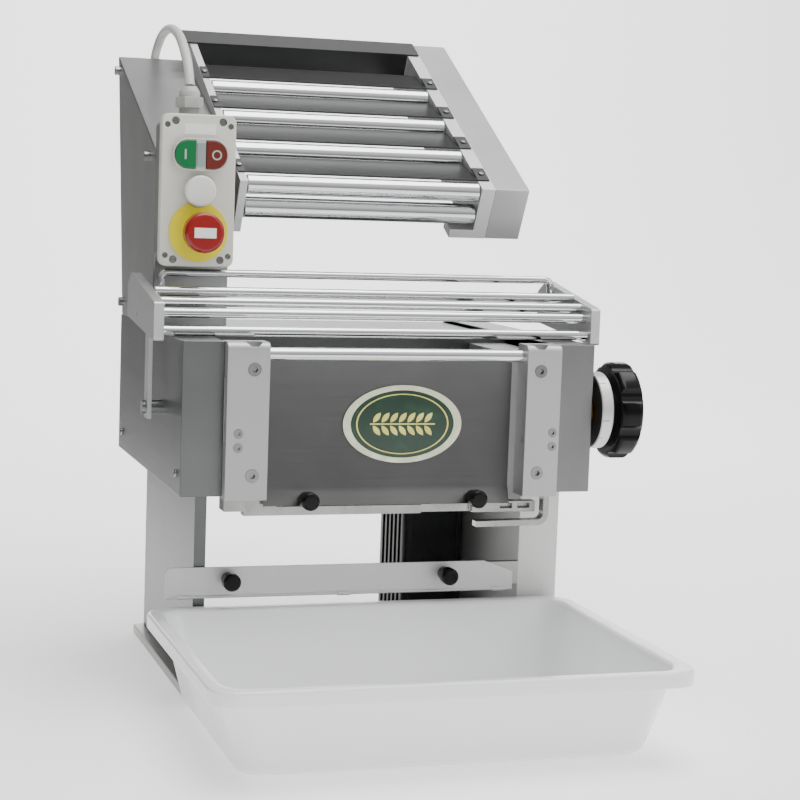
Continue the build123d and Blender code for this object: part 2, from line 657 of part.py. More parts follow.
def infeed_drive_cover():
    """Sheet box over the belt that turns the infeed rollers."""
    outside = TABLE * block(TABLE_COVER, (0, TABLE_LENGTH), (-TABLE_DEEP, 0))
    inside = TABLE * block(
        (TABLE_COVER[0], TABLE_COVER[1] - SHEET), (SHEET, TABLE_LENGTH - SHEET), (SHEET - TABLE_DEEP, -SHEET))
    return outside - inside


def infeed_roller(index):
    """Chrome roller with its shaft and, past the right plate, its belt pulley."""
    y, z = table_point(table_roller_at(index), -TABLE_ROLLER_DEEP)
    roller = rod_x((TABLE_LEFT[1] + 1, TABLE_RIGHT[0] - 1), y, z, TABLE_ROLLER_R)
    roller = chamfer(roller.edges().filter_by(GeomType.CIRCLE), 0.8)
    roller += rod_x((TABLE_LEFT[1] - 5, TABLE_BELT_X[1] + 3), y, z, TABLE_SHAFT_R)
    return roller + rod_x(TABLE_BELT_X, y, z, TABLE_PULLEY_R)


def infeed_nip_roller():
    """Free roller under the front edge of the table."""
    y, z = table_point(TABLE_ROLLER_FIRST, -NIP_ROLLER_DEEP)
    roller = rod_x((TABLE_LEFT[1] + 1, TABLE_RIGHT[0] - 1), y, z, NIP_ROLLER_R)
    roller = chamfer(roller.edges().filter_by(GeomType.CIRCLE), 0.8)
    return roller + rod_x((TABLE_LEFT[1] - 5, TABLE_RIGHT[1]), y, z, TABLE_SHAFT_R)


def infeed_slats():
    """Four dead plates between the rollers, each with a screw tab at both ends, and the top plate."""
    slats = []
    between = (TABLE_LEFT[1] + 0.5, TABLE_RIGHT[0] - 0.5)
    right_tab = (between[1], TABLE_RIGHT[0] + TAB_OVER)
    for index in range(TABLE_ROLLERS):
        front = table_roller_at(index) + SLAT_FRONT
        plate = block(between, (0, TABLE_ROLLER_PITCH - 2 * TABLE_ROLLER_R), (-SLAT_THICK, 0))
        slat = TABLE * Pos(0, front, SLAT_RAISED) * Rot(SLAT_LEAN, 0, 0) * plate
        for x in ((TABLE_LEFT[0] + 0.5, between[0]), right_tab):
            slat += TABLE * block(x, (front, front + TAB_LONG), (0, SLAT_RAISED))
        slats.append(slat)
    top = block((TABLE_LEFT[0] - TAB_OVER, right_tab[1]), (FLANGE_AT, TABLE_LENGTH), (0, SLAT_THICK))
    flange = block(between, (FLANGE_AT, FLANGE_AT + SLAT_THICK), (-30, 0))
    slats.append(TABLE * (top + flange))
    return Compound(children=slats)


# ---- control box ---------------------------------------------------------------------------
def control_box():
    """Moulded box with a cable hole in its top wall."""
    outside = rounded_plate(BOX_X, (LID_Y[1], COLUMN_FRONT), BOX_Z, 6)
    inside = rounded_plate(
        (BOX_X[0] + 3, BOX_X[1] - 3), (LID_Y[1], COLUMN_FRONT - 3), (BOX_Z[0] + 3, BOX_Z[1] - 3), 4)
    return outside - inside - rod_z(CABLE_X, GLAND_Y, (BOX_Z[1] - 3, BOX_Z[1]), 8)


def control_lid():
    """Thick lid with rounded edges, holes for the buttons and countersinks at the corners."""
    lid = rounded_plate(LID_X, LID_Y, LID_Z, 8)
    lid = fillet(lid.edges().group_by(Axis.Y)[0], 1.6)
    for z in (TWIN_Z, RESET_Z, STOP_Z):
        lid -= rod_y(BUTTON_X, LID_Y, z, STEM_R + 0.2)
    for x, z, radius in lid_screw_places():
        lid -= rod_y(x, (LID_Y[0], LID_Y[0] + 4), z, radius)
    return lid


def lid_screw_places():
    """A large and a small screw at each corner, side by side on the diagonal."""
    middle_x, middle_z = (LID_X[0] + LID_X[1]) / 2, (LID_Z[0] + LID_Z[1]) / 2
    return [(middle_x + side * out, middle_z + end * up, radius)
            for side in (-1, 1) for end in (-1, 1) for out, up, radius in LID_SCREWS]


def lid_screws():
    """Slotted screws sunk in the corners of the lid."""
    heads = []
    for x, z, radius in lid_screw_places():
        head = rod_y(x, (LID_Y[0] + 1.8, LID_Y[0] + 4), z, radius - 0.1)
        slot = block((x - radius, x + radius), (LID_Y[0] + 1.8, LID_Y[0] + 3), (z - 0.6, z + 0.6))
        heads.append(head - slot)
    return heads


def oblong(x, z, y, long, high):
    """Flat oblong with round ends, facing the front."""
    outline = Pos(x, y[0], z) * Rot(90, 0, 0) * SlotOverall(long, high)
    return extrude(outline, y[1] - y[0], dir=(0, 1, 0))


def twin_bezel():
    """Bezel of the start and stop buttons with the lamp strip between them, and its body in the lid."""
    y = (LID_Y[0] - 7, LID_Y[0])
    bezel = oblong(BUTTON_X, TWIN_Z, y, *TWIN_SIZE)
    bezel = fillet(bezel.edges().group_by(Axis.Y)[0], 1.2)
    well = oblong(BUTTON_X, TWIN_Z, (y[0], y[0] + 6), *TWIN_WELL)
    strip = block((BUTTON_X - TWIN_LENS_HALF, BUTTON_X + TWIN_LENS_HALF), y, (TWIN_Z - 20, TWIN_Z + 20))
    return bezel - (well - strip) + rod_y(BUTTON_X, (LID_Y[0], LID_Y[1] + 18), TWIN_Z, STEM_R)


def half_button(side):
    """Half of the twin button, in its well with a gap all round, proud by 1.5 mm."""
    gap = 0.3
    y = (LID_Y[0] - 8.5, LID_Y[0] - 4.5)
    shape = oblong(BUTTON_X, TWIN_Z, y, TWIN_WELL[0] - 2 * gap, TWIN_WELL[1] - 2 * gap)
    near, far = TWIN_LENS_HALF + gap, TWIN_WELL[0]
    x = (BUTTON_X - far, BUTTON_X - near) if side < 0 else (BUTTON_X + near, BUTTON_X + far)
    return shape & block(x, y, (TWIN_Z - 20, TWIN_Z + 20))


def start_button():
    return half_button(-1)


def stop_button():
    return half_button(1)


def reset_button():
    """Round push button with its stem through the lid."""
    cap = rod_y(BUTTON_X, (LID_Y[0] - 13, LID_Y[0] - 3.5), RESET_Z, 15.5)
    cap = fillet(cap.edges().group_by(Axis.Y)[0], 2.5)
    return cap + rod_y(BUTTON_X, (LID_Y[0] - 3.5, LID_Y[1] + 12), RESET_Z, STEM_R)


def stop_plate():
    """Yellow disc with a raised collar round the emergency stop."""
    disc = rod_y(BUTTON_X, (LID_Y[0] - 2, LID_Y[0]), STOP_Z, 30)
    disc -= rod_y(BUTTON_X, (LID_Y[0] - 2, LID_Y[0]), RESET_Z, 16.5)
    collar = rod_y(BUTTON_X, (LID_Y[0] - 10, LID_Y[0] - 2), STOP_Z, 16)
    return disc + collar - rod_y(BUTTON_X, (LID_Y[0] - 10, LID_Y[0]), STOP_Z, STOP_STEM_R + CLEAR)


def stop_mushroom():
    """Mushroom head 40 mm across on a stem that latches when pushed."""
    front = LID_Y[0] - STOP_REACH
    head = rod_y(BUTTON_X, (front, front + 15), STOP_Z, 20)
    head = fillet(head.edges().group_by(Axis.Y)[0], 4)
    return head + rod_y(BUTTON_X, (front + 15, LID_Y[1] + 12), STOP_Z, STOP_STEM_R)


def rear_gland_seat():
    """Plane on the leaning back of the column where the rear gland sits, Z pointing out of it."""
    lean = column_lean()
    place = (REAR_GLAND_X, column_back(REAR_GLAND_Z), REAR_GLAND_Z)
    return Plane(origin=place, x_dir=(1, 0, 0), z_dir=(0, cos(lean), -sin(lean)))


def cable_glands():
    """Screwed glands: one on the control box, one on the back of the column."""
    low = (Align.CENTER, Align.CENTER, Align.MIN)
    upright = rod_z(0, 0, (0, 14), GLAND_R) + Pos(0, 0, 14) * extrude(RegularPolygon(14.5, 6), 11)
    upright += rod_z(0, 0, (25, 30), GLAND_R) + Pos(0, 0, 30) * Cone(GLAND_R, 7, 6, align=low)
    upright -= rod_z(0, 0, (0, 36), CABLE_R + 0.3)
    short = rod_z(0, 0, (0, 5), 9.5) + Pos(0, 0, 5) * extrude(RegularPolygon(14.5, 6), 10)
    short += Pos(0, 0, 15) * Cone(GLAND_R, 7, REAR_GLAND_LONG - 15, align=low)
    short -= rod_z(0, 0, (0, REAR_GLAND_LONG), CABLE_R + 0.3)
    return Compound(children=[Pos(CABLE_X, GLAND_Y, BOX_Z[1]) * upright, rear_gland_seat() * short])


def route_radii(points, share=0.45, end_share=0.9):
    """Radius of the arc at each inner corner: arcs share a run between them, and have an end run alone."""
    radii = []
    last = len(points) - 3
    for at, (before, corner, after) in enumerate(zip(points, points[1:], points[2:])):
        into = Vector(*corner) - Vector(*before)
        out = Vector(*after) - Vector(*corner)
        turn = radians(into.get_angle(out))
        run_in = into.length * (end_share if at == 0 else share)
        run_out = out.length * (end_share if at == last else share)
        radii.append(min(run_in, run_out) / tan(turn / 2))
    print("tightest arc of the cable is", round(min(radii)), "mm")
    return radii


def control_cable():
    """Round cable along its route, each corner rounded as widely as the route allows."""
    seat = rear_gland_seat()
    end = seat.origin + seat.z_dir * REAR_GLAND_LONG
    before = end + seat.z_dir * CABLE_LEAD
    route = [*CABLE_ROUTE, (before.X, before.Y, before.Z), (end.X, end.Y, end.Z)]
    path = FilletPolyline(*route, radius=route_radii(route))
    print("control cable is", round(path.length), "mm long")
    section = Plane(origin=path @ 0, z_dir=path % 0) * Circle(CABLE_R)
    return sweep(section, path=path)


# ---- guard ---------------------------------------------------------------------------------
def guard_plate(side):
    """End plate of the guard with the flat arm that reaches down to the pivot bolt."""
    corners = [(-158, 357), (-158, 395), (-26, 417), (-4, 405), (-4, 371)]
    x = (-GUARD_OUT, -GUARD_IN) if side < 0 else (GUARD_IN, GUARD_OUT)
    plate = side_profile(corners, x)
    plate = fillet(plate.edges().filter_by(Axis.X), 3)
    arm_x = (-GUARD_IN - GUARD_ARM, -GUARD_IN) if side < 0 else (GUARD_IN, GUARD_IN + GUARD_ARM)
    arm = block(arm_x, (GUARD_PIVOT_Y - 10, GUARD_PIVOT_Y + 10), (GUARD_PIVOT_Z - 11, 366))
    shape = plate + arm
    shape -= rod_x(arm_x, GUARD_PIVOT_Y, GUARD_PIVOT_Z, GUARD_BOLT_R + BORE_PLAY)
    for y, z in ((-60, 393), (-60, 377)):
        shape -= rod_x((x[0], x[0] + 4) if side < 0 else (x[1] - 4, x[1]), y, z, 3)
    return shape


def guard_left_plate():
    return guard_plate(-1)


def guard_right_plate():
    return guard_plate(1)


def guard_rods():
    rods = [rod_x((-GUARD_IN, GUARD_IN), y, z, ROD_R) for y, z in GUARD_RODS]
    return Compound(children=rods)


def guard_top_bar():
    """Round bar bent at both ends, whose feet are screwed to the end plates."""
    y, (low, high), reach = GUARD_BAR_Y, GUARD_BAR_Z, GUARD_IN - 12
    path = FilletPolyline(
        (-GUARD_IN, y, low), (-reach, y, low), (-reach, y, high), (reach, y, high), (reach, y, low),
        (GUARD_IN, y, low), radius=7)
    section = Plane(origin=path @ 0, z_dir=path % 0) * Circle(4)
    return sweep(section, path=path)


# ---- screws --------------------------------------------------------------------------------
def fixing_screws():
    """Screws of the front blocks and the table, guard pivot bolts, column bolt and lid screws."""
    screws = []
    gap = GUARD_IN - HOUSING_HALF
    for at, side in enumerate((-1, 1)):
        for z in BLOCK_SCREW_Z:
            screws.append(socket_screw_y(BLOCK_SCREW_X[at], BLOCK_FRONT - 0.5, z, BLOCK_SCREW_R, 5.5, 3.2))
        for z in SIDE_SCREW_Z:
            screws.append(socket_screw_y(SIDE_SCREW_X[at], BLOCK_FRONT - 0.4, z, SIDE_SCREW_R, 3.4, 2.2))
        pivot = rod_x((0, gap - 0.2), GUARD_PIVOT_Y, GUARD_PIVOT_Z, GUARD_BOLT_R + 3)
        pivot += rod_x((gap - 0.2, gap + GUARD_ARM + 0.4), GUARD_PIVOT_Y, GUARD_PIVOT_Z, GUARD_BOLT_R)
        outside = (gap + GUARD_ARM + 0.4, gap + GUARD_ARM + 4.5)
        pivot += rod_x(outside, GUARD_PIVOT_Y, GUARD_PIVOT_Z, GUARD_BOLT_R + 3)
        if side < 0:
            pivot = mirror(pivot, about=Plane.YZ)
        screws.append(Pos(side * HOUSING_HALF, 0, 0) * pivot)
    for index in range(TABLE_ROLLERS):
        along = table_roller_at(index) + SLAT_FRONT + TAB_LONG / 2
        for x in (TABLE_LEFT[0] + 4, TABLE_RIGHT[0] + 7):
            head = Pos(x, along, SLAT_RAISED) * Cylinder(3, 1.8, align=(Align.CENTER, Align.CENTER, Align.MIN))
            screws.append(TABLE * fillet(head.edges().group_by(Axis.Z)[-1], 0.8))
    for y, z in COLUMN_BOLTS:
        screws.append(rod_x((COLUMN_X[0] - 6, COLUMN_X[0]), y, z, 5))
    return Compound(children=screws + lid_screws())


# ---- deflector, knobs, catch tray ----------------------------------------------------------
def deflector_plate():
    """Thin plate with a rounded corner and a cut one, and a rolled hem with hinge barrels."""
    low, high = DEFLECTOR_Z
    left, right = DEFLECTOR_X
    y = (DEFLECTOR_Y - DEFLECTOR_THICK, DEFLECTOR_Y)
    middle = DEFLECTOR_Y - DEFLECTOR_THICK / 2
    plate = front_profile([(left, low), (right, low), (right, high - 12), (right - 32, high), (left, high)], y)
    plate = fillet(plate.edges().filter_by(Axis.Y).group_by(Axis.X)[0].group_by(Axis.Z)[-1], 6)
    hem = rod_x((left, right), middle, low, 1.8)
    shape = plate + hem
    for x in DEFLECTOR_BARRELS:
        shape += rod_x((x - 7, x + 7), middle, low, 2.6)
    for x in DEFLECTOR_KNOBS:
        shape -= rod_y(x, y, DEFLECTOR_KNOB_Z, 3.2)
    return shape


def clamp_knob(x, back, z, stem, neck):
    """Round plastic knob on a stud, its collar against the plate at y = back."""
    knob = rod_y(x, (back - 24, back - 12), z, 9)
    knob = fillet(knob.edges().group_by(Axis.Y)[0], 3)
    knob += rod_y(x, (back - 12, back - CLEAR), z, 7)
    return knob + rod_y(x, (back - CLEAR, back + stem), z, neck)


def catch_tray():
    """Drafted plastic tray with rounded corners, a turned-down rim and four small feet."""
    def shell(inset, low, shrink):
        bottom = Pos(TRAY_MIDDLE_X, TRAY_MIDDLE_Y, low) * RectangleRounded(
            TRAY_BOTTOM[0] - 2 * inset, TRAY_BOTTOM[1] - 2 * inset, 26 - inset)
        top = Pos(TRAY_MIDDLE_X, TRAY_MIDDLE_Y, TRAY_HIGH - shrink) * RectangleRounded(
            TRAY_TOP[0] - 24 - 2 * inset, TRAY_TOP[1] - 24 - 2 * inset, 38 - inset)
        return loft([bottom, top])
    body = shell(0, 2.0, 0) - shell(TRAY_WALL, 2.0 + TRAY_WALL, 0)
    rim = Pos(TRAY_MIDDLE_X, TRAY_MIDDLE_Y, TRAY_HIGH - TRAY_LIP) * extrude(
        RectangleRounded(*TRAY_TOP, 46) - RectangleRounded(TRAY_TOP[0] - 5, TRAY_TOP[1] - 5, 43.5), TRAY_LIP)
    flange = Pos(TRAY_MIDDLE_X, TRAY_MIDDLE_Y, TRAY_HIGH - 3) * extrude(
        RectangleRounded(*TRAY_TOP, 46) - RectangleRounded(TRAY_TOP[0] - 26, TRAY_TOP[1] - 26, 37), 3)
    tray = body + rim + flange
    tray -= Pos(TRAY_MIDDLE_X, TRAY_MIDDLE_Y, TRAY_HIGH) * extrude(
        RectangleRounded(TRAY_TOP[0] + 20, TRAY_TOP[1] + 20, 50), 10)
    for x in (-1, 1):
        for y in (-1, 1):
            tray += rod_z(TRAY_MIDDLE_X + x * 150, TRAY_MIDDLE_Y + y * 96, (0, 3), 9)
    return tray


# ---- the list of pieces --------------------------------------------------------------------
def build_all():
    for maker in (base_plate, left_side_frame, right_side_frame, right_leg, cross_bar, left_side_cover,
                  right_side_cover, rear_cover, roller_bushes, front_panel, scraper_carrier, scrapers,
                  guide_bar, hanger_bar, panel_badge,
                  front_roller, rear_roller, front_gear, rear_gear_and_pulley,
                  motor_pulley, drive_belts, sliding_bearings, adjuster_spindle, handwheel,
                  gear_motor, left_column, infeed_left_plate, infeed_right_plate, infeed_drive_cover,
                  infeed_nip_roller, infeed_slats, control_box, control_lid, twin_bezel,
                  start_button, stop_button, reset_button, stop_plate, stop_mushroom, cable_glands,
                  control_cable, guard_left_plate, guard_right_plate, guard_rods, guard_top_bar,
                  fixing_screws, deflector_plate, catch_tray):
        PARTS[maker.__name__] = maker()
    for side, name in ((-1, "left"), (1, "right")):
        PARTS[name + "_front_block"] = front_block(side)
        PARTS[name + "_bearing_cheek"] = bearing_cheek(side)
    for index in range(TABLE_ROLLERS):
        PARTS["infeed_roller_%d" % (index + 1)] = infeed_roller(index)
    for number, x in enumerate(PANEL_KNOBS, 1):
        PARTS["panel_knob_%d" % number] = clamp_knob(x, PANEL_KNOB_BACK, PANEL_KNOB_Z, 8, 4)
    for number, x in enumerate(DEFLECTOR_KNOBS, 1):
        PARTS["deflector_knob_%d" % number] = clamp_knob(
            x, DEFLECTOR_Y - DEFLECTOR_THICK, DEFLECTOR_KNOB_Z, 2, 3)


build_all()
os.makedirs("parts", exist_ok=True)
for name, shape in PARTS.items():
    export_step(shape, "parts/%s.step" % name)
print(len(PARTS), "nodes written")
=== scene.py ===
# %% [markdown]
# # A bench dough sheeter, dressed in Blender
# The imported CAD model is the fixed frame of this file: it holds every size, joint and mount.
# Blender only gives it its looks. Steel gets rounded edges and a brushed grain, plastic gets its
# moulded skin, and the small things a CAD model leaves out are modelled here.
# Every piece sits at the origin with its place in its mesh, and rides on one CAD body.

# %% Load the frame
import json
import math

import bpy
from mathutils import Matrix, Vector


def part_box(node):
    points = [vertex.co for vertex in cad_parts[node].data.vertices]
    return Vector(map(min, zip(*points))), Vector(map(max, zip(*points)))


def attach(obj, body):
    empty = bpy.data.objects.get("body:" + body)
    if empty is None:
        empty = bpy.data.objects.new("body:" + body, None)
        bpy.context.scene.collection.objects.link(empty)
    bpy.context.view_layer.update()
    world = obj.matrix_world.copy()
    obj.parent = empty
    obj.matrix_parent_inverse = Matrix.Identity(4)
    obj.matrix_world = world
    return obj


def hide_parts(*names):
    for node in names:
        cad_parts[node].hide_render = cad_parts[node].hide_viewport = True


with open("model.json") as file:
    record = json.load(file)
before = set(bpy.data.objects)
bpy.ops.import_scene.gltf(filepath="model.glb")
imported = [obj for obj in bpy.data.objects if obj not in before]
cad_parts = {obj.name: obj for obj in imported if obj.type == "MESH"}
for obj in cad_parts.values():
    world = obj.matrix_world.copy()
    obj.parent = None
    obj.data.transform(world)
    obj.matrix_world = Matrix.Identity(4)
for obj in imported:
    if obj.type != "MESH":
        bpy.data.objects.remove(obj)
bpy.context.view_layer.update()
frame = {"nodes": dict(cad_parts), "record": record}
scene = bpy.context.scene
MM = 0.001

# %% [markdown]
# ## Three small helpers
# Colours are written as sRGB hex, the way a paint chart gives them, and turned to the linear
# values that shaders work in. One function adds any shader node. One function deselects
# everything, because an operator acts on all that is selected.

# %% Colour, node and selection helpers
def linear(hex_code):
    """sRGB hex such as "C8C9CA" as linear red, green, blue and alpha 1."""
    parts = [int(hex_code[i:i + 2], 16) / 255 for i in (0, 2, 4)]
    return tuple(c / 12.92 if c <= 0.04045 else ((c + 0.055) / 1.055) ** 2.4 for c in parts) + (1.0,)


def add_node(tree, kind, inputs=None, **settings):
    """Adds one node; settings are its properties, inputs its socket values or sockets to link."""
    new = tree.nodes.new(kind)
    for name, value in settings.items():
        setattr(new, name, value)
    for socket, value in (inputs or {}).items():
        if isinstance(value, bpy.types.NodeSocket):
            tree.links.new(value, new.inputs[socket])
        else:
            new.inputs[socket].default_value = value
    return new


def nothing_selected():
    """Back to object mode with nothing selected."""
    if bpy.context.object and bpy.context.object.mode != "OBJECT":
        bpy.ops.object.mode_set(mode="OBJECT")
    bpy.ops.object.select_all(action="DESELECT")


nothing_selected()
print("grey of the lid in linear:", [round(c, 3) for c in linear("D6D5CC")])

# %% [markdown]
# ## The camera
# The machine is seen from the left and from a little above, with a long lens, so that its upright
# edges stay nearly parallel. The camera leans two degrees, as a hand-held one does.

# %% Camera
CAMERA_PLACE = (-0.5745, -2.0211, 0.510)
CAMERA_YAW = math.radians(17.66)
CAMERA_PITCH = math.radians(6.13)
CAMERA_ROLL = math.radians(2.05)

bpy.ops.object.camera_add(location=CAMERA_PLACE)
camera = bpy.context.object
camera.name = "studio_camera"
camera.data.lens = 87.5
camera.data.sensor_width = 36
turn = Matrix.Rotation(-CAMERA_YAW, 4, "Z") @ Matrix.Rotation(math.pi / 2 - CAMERA_PITCH, 4, "X")
camera.rotation_euler = (turn @ Matrix.Rotation(CAMERA_ROLL, 4, "Z")).to_euler()
scene.camera = camera
print("lens", camera.data.lens, "mm at", [round(v, 2) for v in camera.location])

# %% [markdown]
# ## The control cable
# The cable is ten millimetres thick and rather stiff. It rises out of the gland on the control box,
# arches over the column, and bends back into the gland behind it. Its route is the one of the CAD
# model, and a smooth NURBS line through the same control points gives it its curve.

# %% The line of the cable
CABLE_RADIUS = 5 * MM
CABLE_ROUTE = ((-184, -56, 608), (-184, -48, 626), (-183, -22, 644), (-182, 8, 660),
               (-180, 48, 671), (-177, 98, 677), (-172, 156, 677), (-168, 205, 672),
               (-165, 262, 650), (-163, 273, 545), (-163, 221, 556))

line_data = bpy.data.curves.new("control_cable_line", "CURVE")
line_data.dimensions = "3D"
line = line_data.splines.new("NURBS")
line.points.add(len(CABLE_ROUTE) - 1)
for point, place in zip(line.points, CABLE_ROUTE):
    point.co = [value * MM for value in place] + [1]
line.order_u = 3
line.use_endpoint_u = True
line.resolution_u = 16
line_data.bevel_depth = CABLE_RADIUS
line_data.bevel_resolution = 6
line_data.use_fill_caps = True
cable = bpy.data.objects.new("control_cable_sheath", line_data)
scene.collection.objects.link(cable)
print("cable", round(line.calc_length() * 1000), "mm along its line")

# %% [markdown]
# ## Materials: what each finish is
# Steel and aluminium are metals, so metallic is 1 and the colour is their reflectance. Plastics
# have metallic 0 and the usual IOR of about 1.5. Patterns read Object coordinates, in metres,
# so a noise scale of 1000 means features about one millimetre across.

# %% A start for every material
def new_material(name):
    """An empty node material with its output, and the object coordinates."""
    material = bpy.data.materials.new(name)
    material.use_nodes = True
    tree = material.node_tree
    tree.nodes.clear()
    place = add_node(tree, "ShaderNodeTexCoord").outputs["Object"]
    return material, tree, place


def finish_material(tree, shader):
    add_node(tree, "ShaderNodeOutputMaterial", {"Surface": shader.outputs["BSDF"]})


# %% [markdown]
# Brushed stainless sheet is drawn through an abrasive belt, which leaves scratches a few tenths
# of a millimetre wide and many centimetres long. A noise stretched along the grain draws them.
# The real grain is too fine to be seen from the camera's distance, so it is drawn two or three
# times coarser. A second, broad noise is the faint cloudiness of handled sheet.

# %% Brushed stainless
GRAIN_WIDTH = 0.9 * MM
GRAIN_LENGTH = 160 * MM


def brushed_stainless(name, hex_code, grain, roughness=0.34, contrast=0.10):
    """Brushed sheet with its grain along the axis "X", "Y" or "Z"."""
    material, tree, place = new_material(name)
    stretch = [1 / GRAIN_LENGTH if axis == grain else 1 / GRAIN_WIDTH for axis in "XYZ"]
    along = add_node(tree, "ShaderNodeMapping", {"Vector": place, "Scale": stretch})
    scratches = add_node(tree, "ShaderNodeTexNoise", {
        "Vector": along.outputs["Vector"], "Scale": 1.0, "Detail": 4.0, "Roughness": 0.65})
    clouds = add_node(tree, "ShaderNodeTexNoise", {"Vector": place, "Scale": 14.0, "Detail": 3.0})
    colour = linear(hex_code)
    dark = tuple(c * (1 - contrast) for c in colour[:3]) + (1,)
    light = tuple(min(1, c * (1 + contrast)) for c in colour[:3]) + (1,)
    tint = add_node(tree, "ShaderNodeMix", {
        "Factor": scratches.outputs["Fac"], "A": dark, "B": light}, data_type="RGBA")
    cloudy = add_node(tree, "ShaderNodeMapRange", {
        "Value": clouds.outputs["Fac"], "From Min": 0.3, "From Max": 0.7, "To Min": 0.93, "To Max": 1.05})
    shade = add_node(tree, "ShaderNodeVectorMath", {
        0: tint.outputs["Result"], "Scale": cloudy.outputs["Result"]}, operation="SCALE")
    sheen = add_node(tree, "ShaderNodeMapRange", {
        "Value": scratches.outputs["Fac"], "To Min": roughness - 0.07, "To Max": roughness + 0.09})
    relief = add_node(tree, "ShaderNodeBump", {
        "Height": scratches.outputs["Fac"], "Strength": 0.10, "Distance": 0.0003})
    shader = add_node(tree, "ShaderNodeBsdfPrincipled", {
        "Base Color": shade.outputs["Vector"], "Metallic": 1.0, "Roughness": sheen.outputs["Result"],
        "Normal": relief.outputs["Normal"]})
    finish_material(tree, shader)
    return material


cover_steel = brushed_stainless("stainless_brushed_upright", "A9AAA9", "Z")
# The left side cover, rear cover and left side frame take a much darker copy of the same brushed
# stainless: the darker colour is painted shade for faces turned away from the light.
side_steel_painted_shade = brushed_stainless("stainless_brushed_painted_shade", "6C6F6E", "Y")
# The right side cover's darker copy of the same brushed stainless is painted shade, to darken its front
# face.
right_steel_painted_shade = brushed_stainless("stainless_brushed_right_painted_shade", "7E7F7E", "Z")
panel_steel = brushed_stainless("stainless_brushed_panel", "6E6F6E", "X", roughness=0.30, contrast=0.07)
# The slats' very dark copy of the same brushed stainless is painted shade: the slats face up and back,
# toward the dark side of the studio.
slat_steel_painted_shade = brushed_stainless("stainless_brushed_across_painted_shade", "464746", "X", contrast=0.08)
plate_steel = brushed_stainless("stainless_ground_plate", "B2B2B0", "Z", roughness=0.42)
print("brushed steels:", cover_steel.name, side_steel_painted_shade.name, panel_steel.name, slat_steel_painted_shade.name)

# %% [markdown]
# The front blocks, guard ends and table plates are milled aluminium with a matt anodised skin.
# The skin scatters light, so it looks much softer and paler than steel. A fine noise breaks up
# the highlight, and a weak stretched one is what remains of the milling. The right leg and the
# deflector are steel with the same scattering finish; its pale colour and low metallic are painted glare.

# %% Matt anodised aluminium
def anodised_aluminium(name, hex_code, roughness=0.46):
    material, tree, place = new_material(name)
    skin = add_node(tree, "ShaderNodeTexNoise", {"Vector": place, "Scale": 1600.0, "Detail": 2.0})
    milling = add_node(tree, "ShaderNodeMapping", {"Vector": place, "Scale": (900, 900, 12)})
    marks = add_node(tree, "ShaderNodeTexNoise", {"Vector": milling.outputs["Vector"], "Scale": 1.0})
    colour = linear(hex_code)
    dark = tuple(c * 0.93 for c in colour[:3]) + (1,)
    tint = add_node(tree, "ShaderNodeMix", {
        "Factor": marks.outputs["Fac"], "A": dark, "B": colour}, data_type="RGBA")
    sheen = add_node(tree, "ShaderNodeMapRange", {
        "Value": skin.outputs["Fac"], "To Min": roughness - 0.06, "To Max": roughness + 0.08})
    relief = add_node(tree, "ShaderNodeBump", {
        "Height": skin.outputs["Fac"], "Strength": 0.12, "Distance": 0.0002})
    shader = add_node(tree, "ShaderNodeBsdfPrincipled", {
        "Base Color": tint.outputs["Result"], "Metallic": 0.75, "Roughness": sheen.outputs["Result"],
        "Normal": relief.outputs["Normal"]})
    finish_material(tree, shader)
    return material


block_alu = anodised_aluminium("aluminium_anodised", "B4B5B4")
# This pale, part-metallic copy is painted glare: it makes the right leg's inner face and the deflector
# look light, as glare does.
leg_steel_painted_glare = anodised_aluminium("stainless_pale_painted_glare", "D2D3D1", roughness=0.5)
guard_alu = anodised_aluminium("aluminium_anodised_pale", "CBCCCB", roughness=0.42)
print("aluminium:", block_alu.name, guard_alu.name)

# %% [markdown]
# Rollers and rods are ground, polished and hard chromed. They are almost mirrors, so what shows
# is the room: a bright line from the softbox and dark bands from the dark side of the studio.
# A weak noise in the roughness is the dulling of finger marks and flour.

# %% Hard chrome and polished steel
def polished_metal(name, hex_code, roughness):
    material, tree, place = new_material(name)
    smudge = add_node(tree, "ShaderNodeTexNoise", {"Vector": place, "Scale": 26.0, "Detail": 3.0})
    haze = add_node(tree, "ShaderNodeTexNoise", {"Vector": place, "Scale": 900.0, "Detail": 1.0})
    dull = add_node(tree, "ShaderNodeMapRange", {
        "Value": smudge.outputs["Fac"], "From Min": 0.35, "From Max": 0.75,
        "To Min": roughness * 0.7, "To Max": roughness * 1.6})
    relief = add_node(tree, "ShaderNodeBump", {
        "Height": haze.outputs["Fac"], "Strength": 0.015, "Distance": 0.0001})
    shader = add_node(tree, "ShaderNodeBsdfPrincipled", {
        "Base Color": linear(hex_code), "Metallic": 1.0, "Roughness": dull.outputs["Result"],
        "Normal": relief.outputs["Normal"]})
    finish_material(tree, shader)
    return material


chrome = polished_metal("steel_hard_chromed", "D6D7D8", 0.10)
turned_steel = polished_metal("steel_turned", "9C9C9A", 0.26)
screw_steel = polished_metal("steel_zinc_plated", "8E8F8F", 0.24)
bronze = polished_metal("bronze_sintered", "9A7440", 0.38)
print("polished:", chrome.name, turned_steel.name, screw_steel.name)

# %% [markdown]
# Moulded plastics share one recipe: a nearly even colour, a fine spark-eroded grain in the bump,
# and a small drift of colour and gloss. What differs is the colour, how glossy the tool was, and
# how coarse its grain.

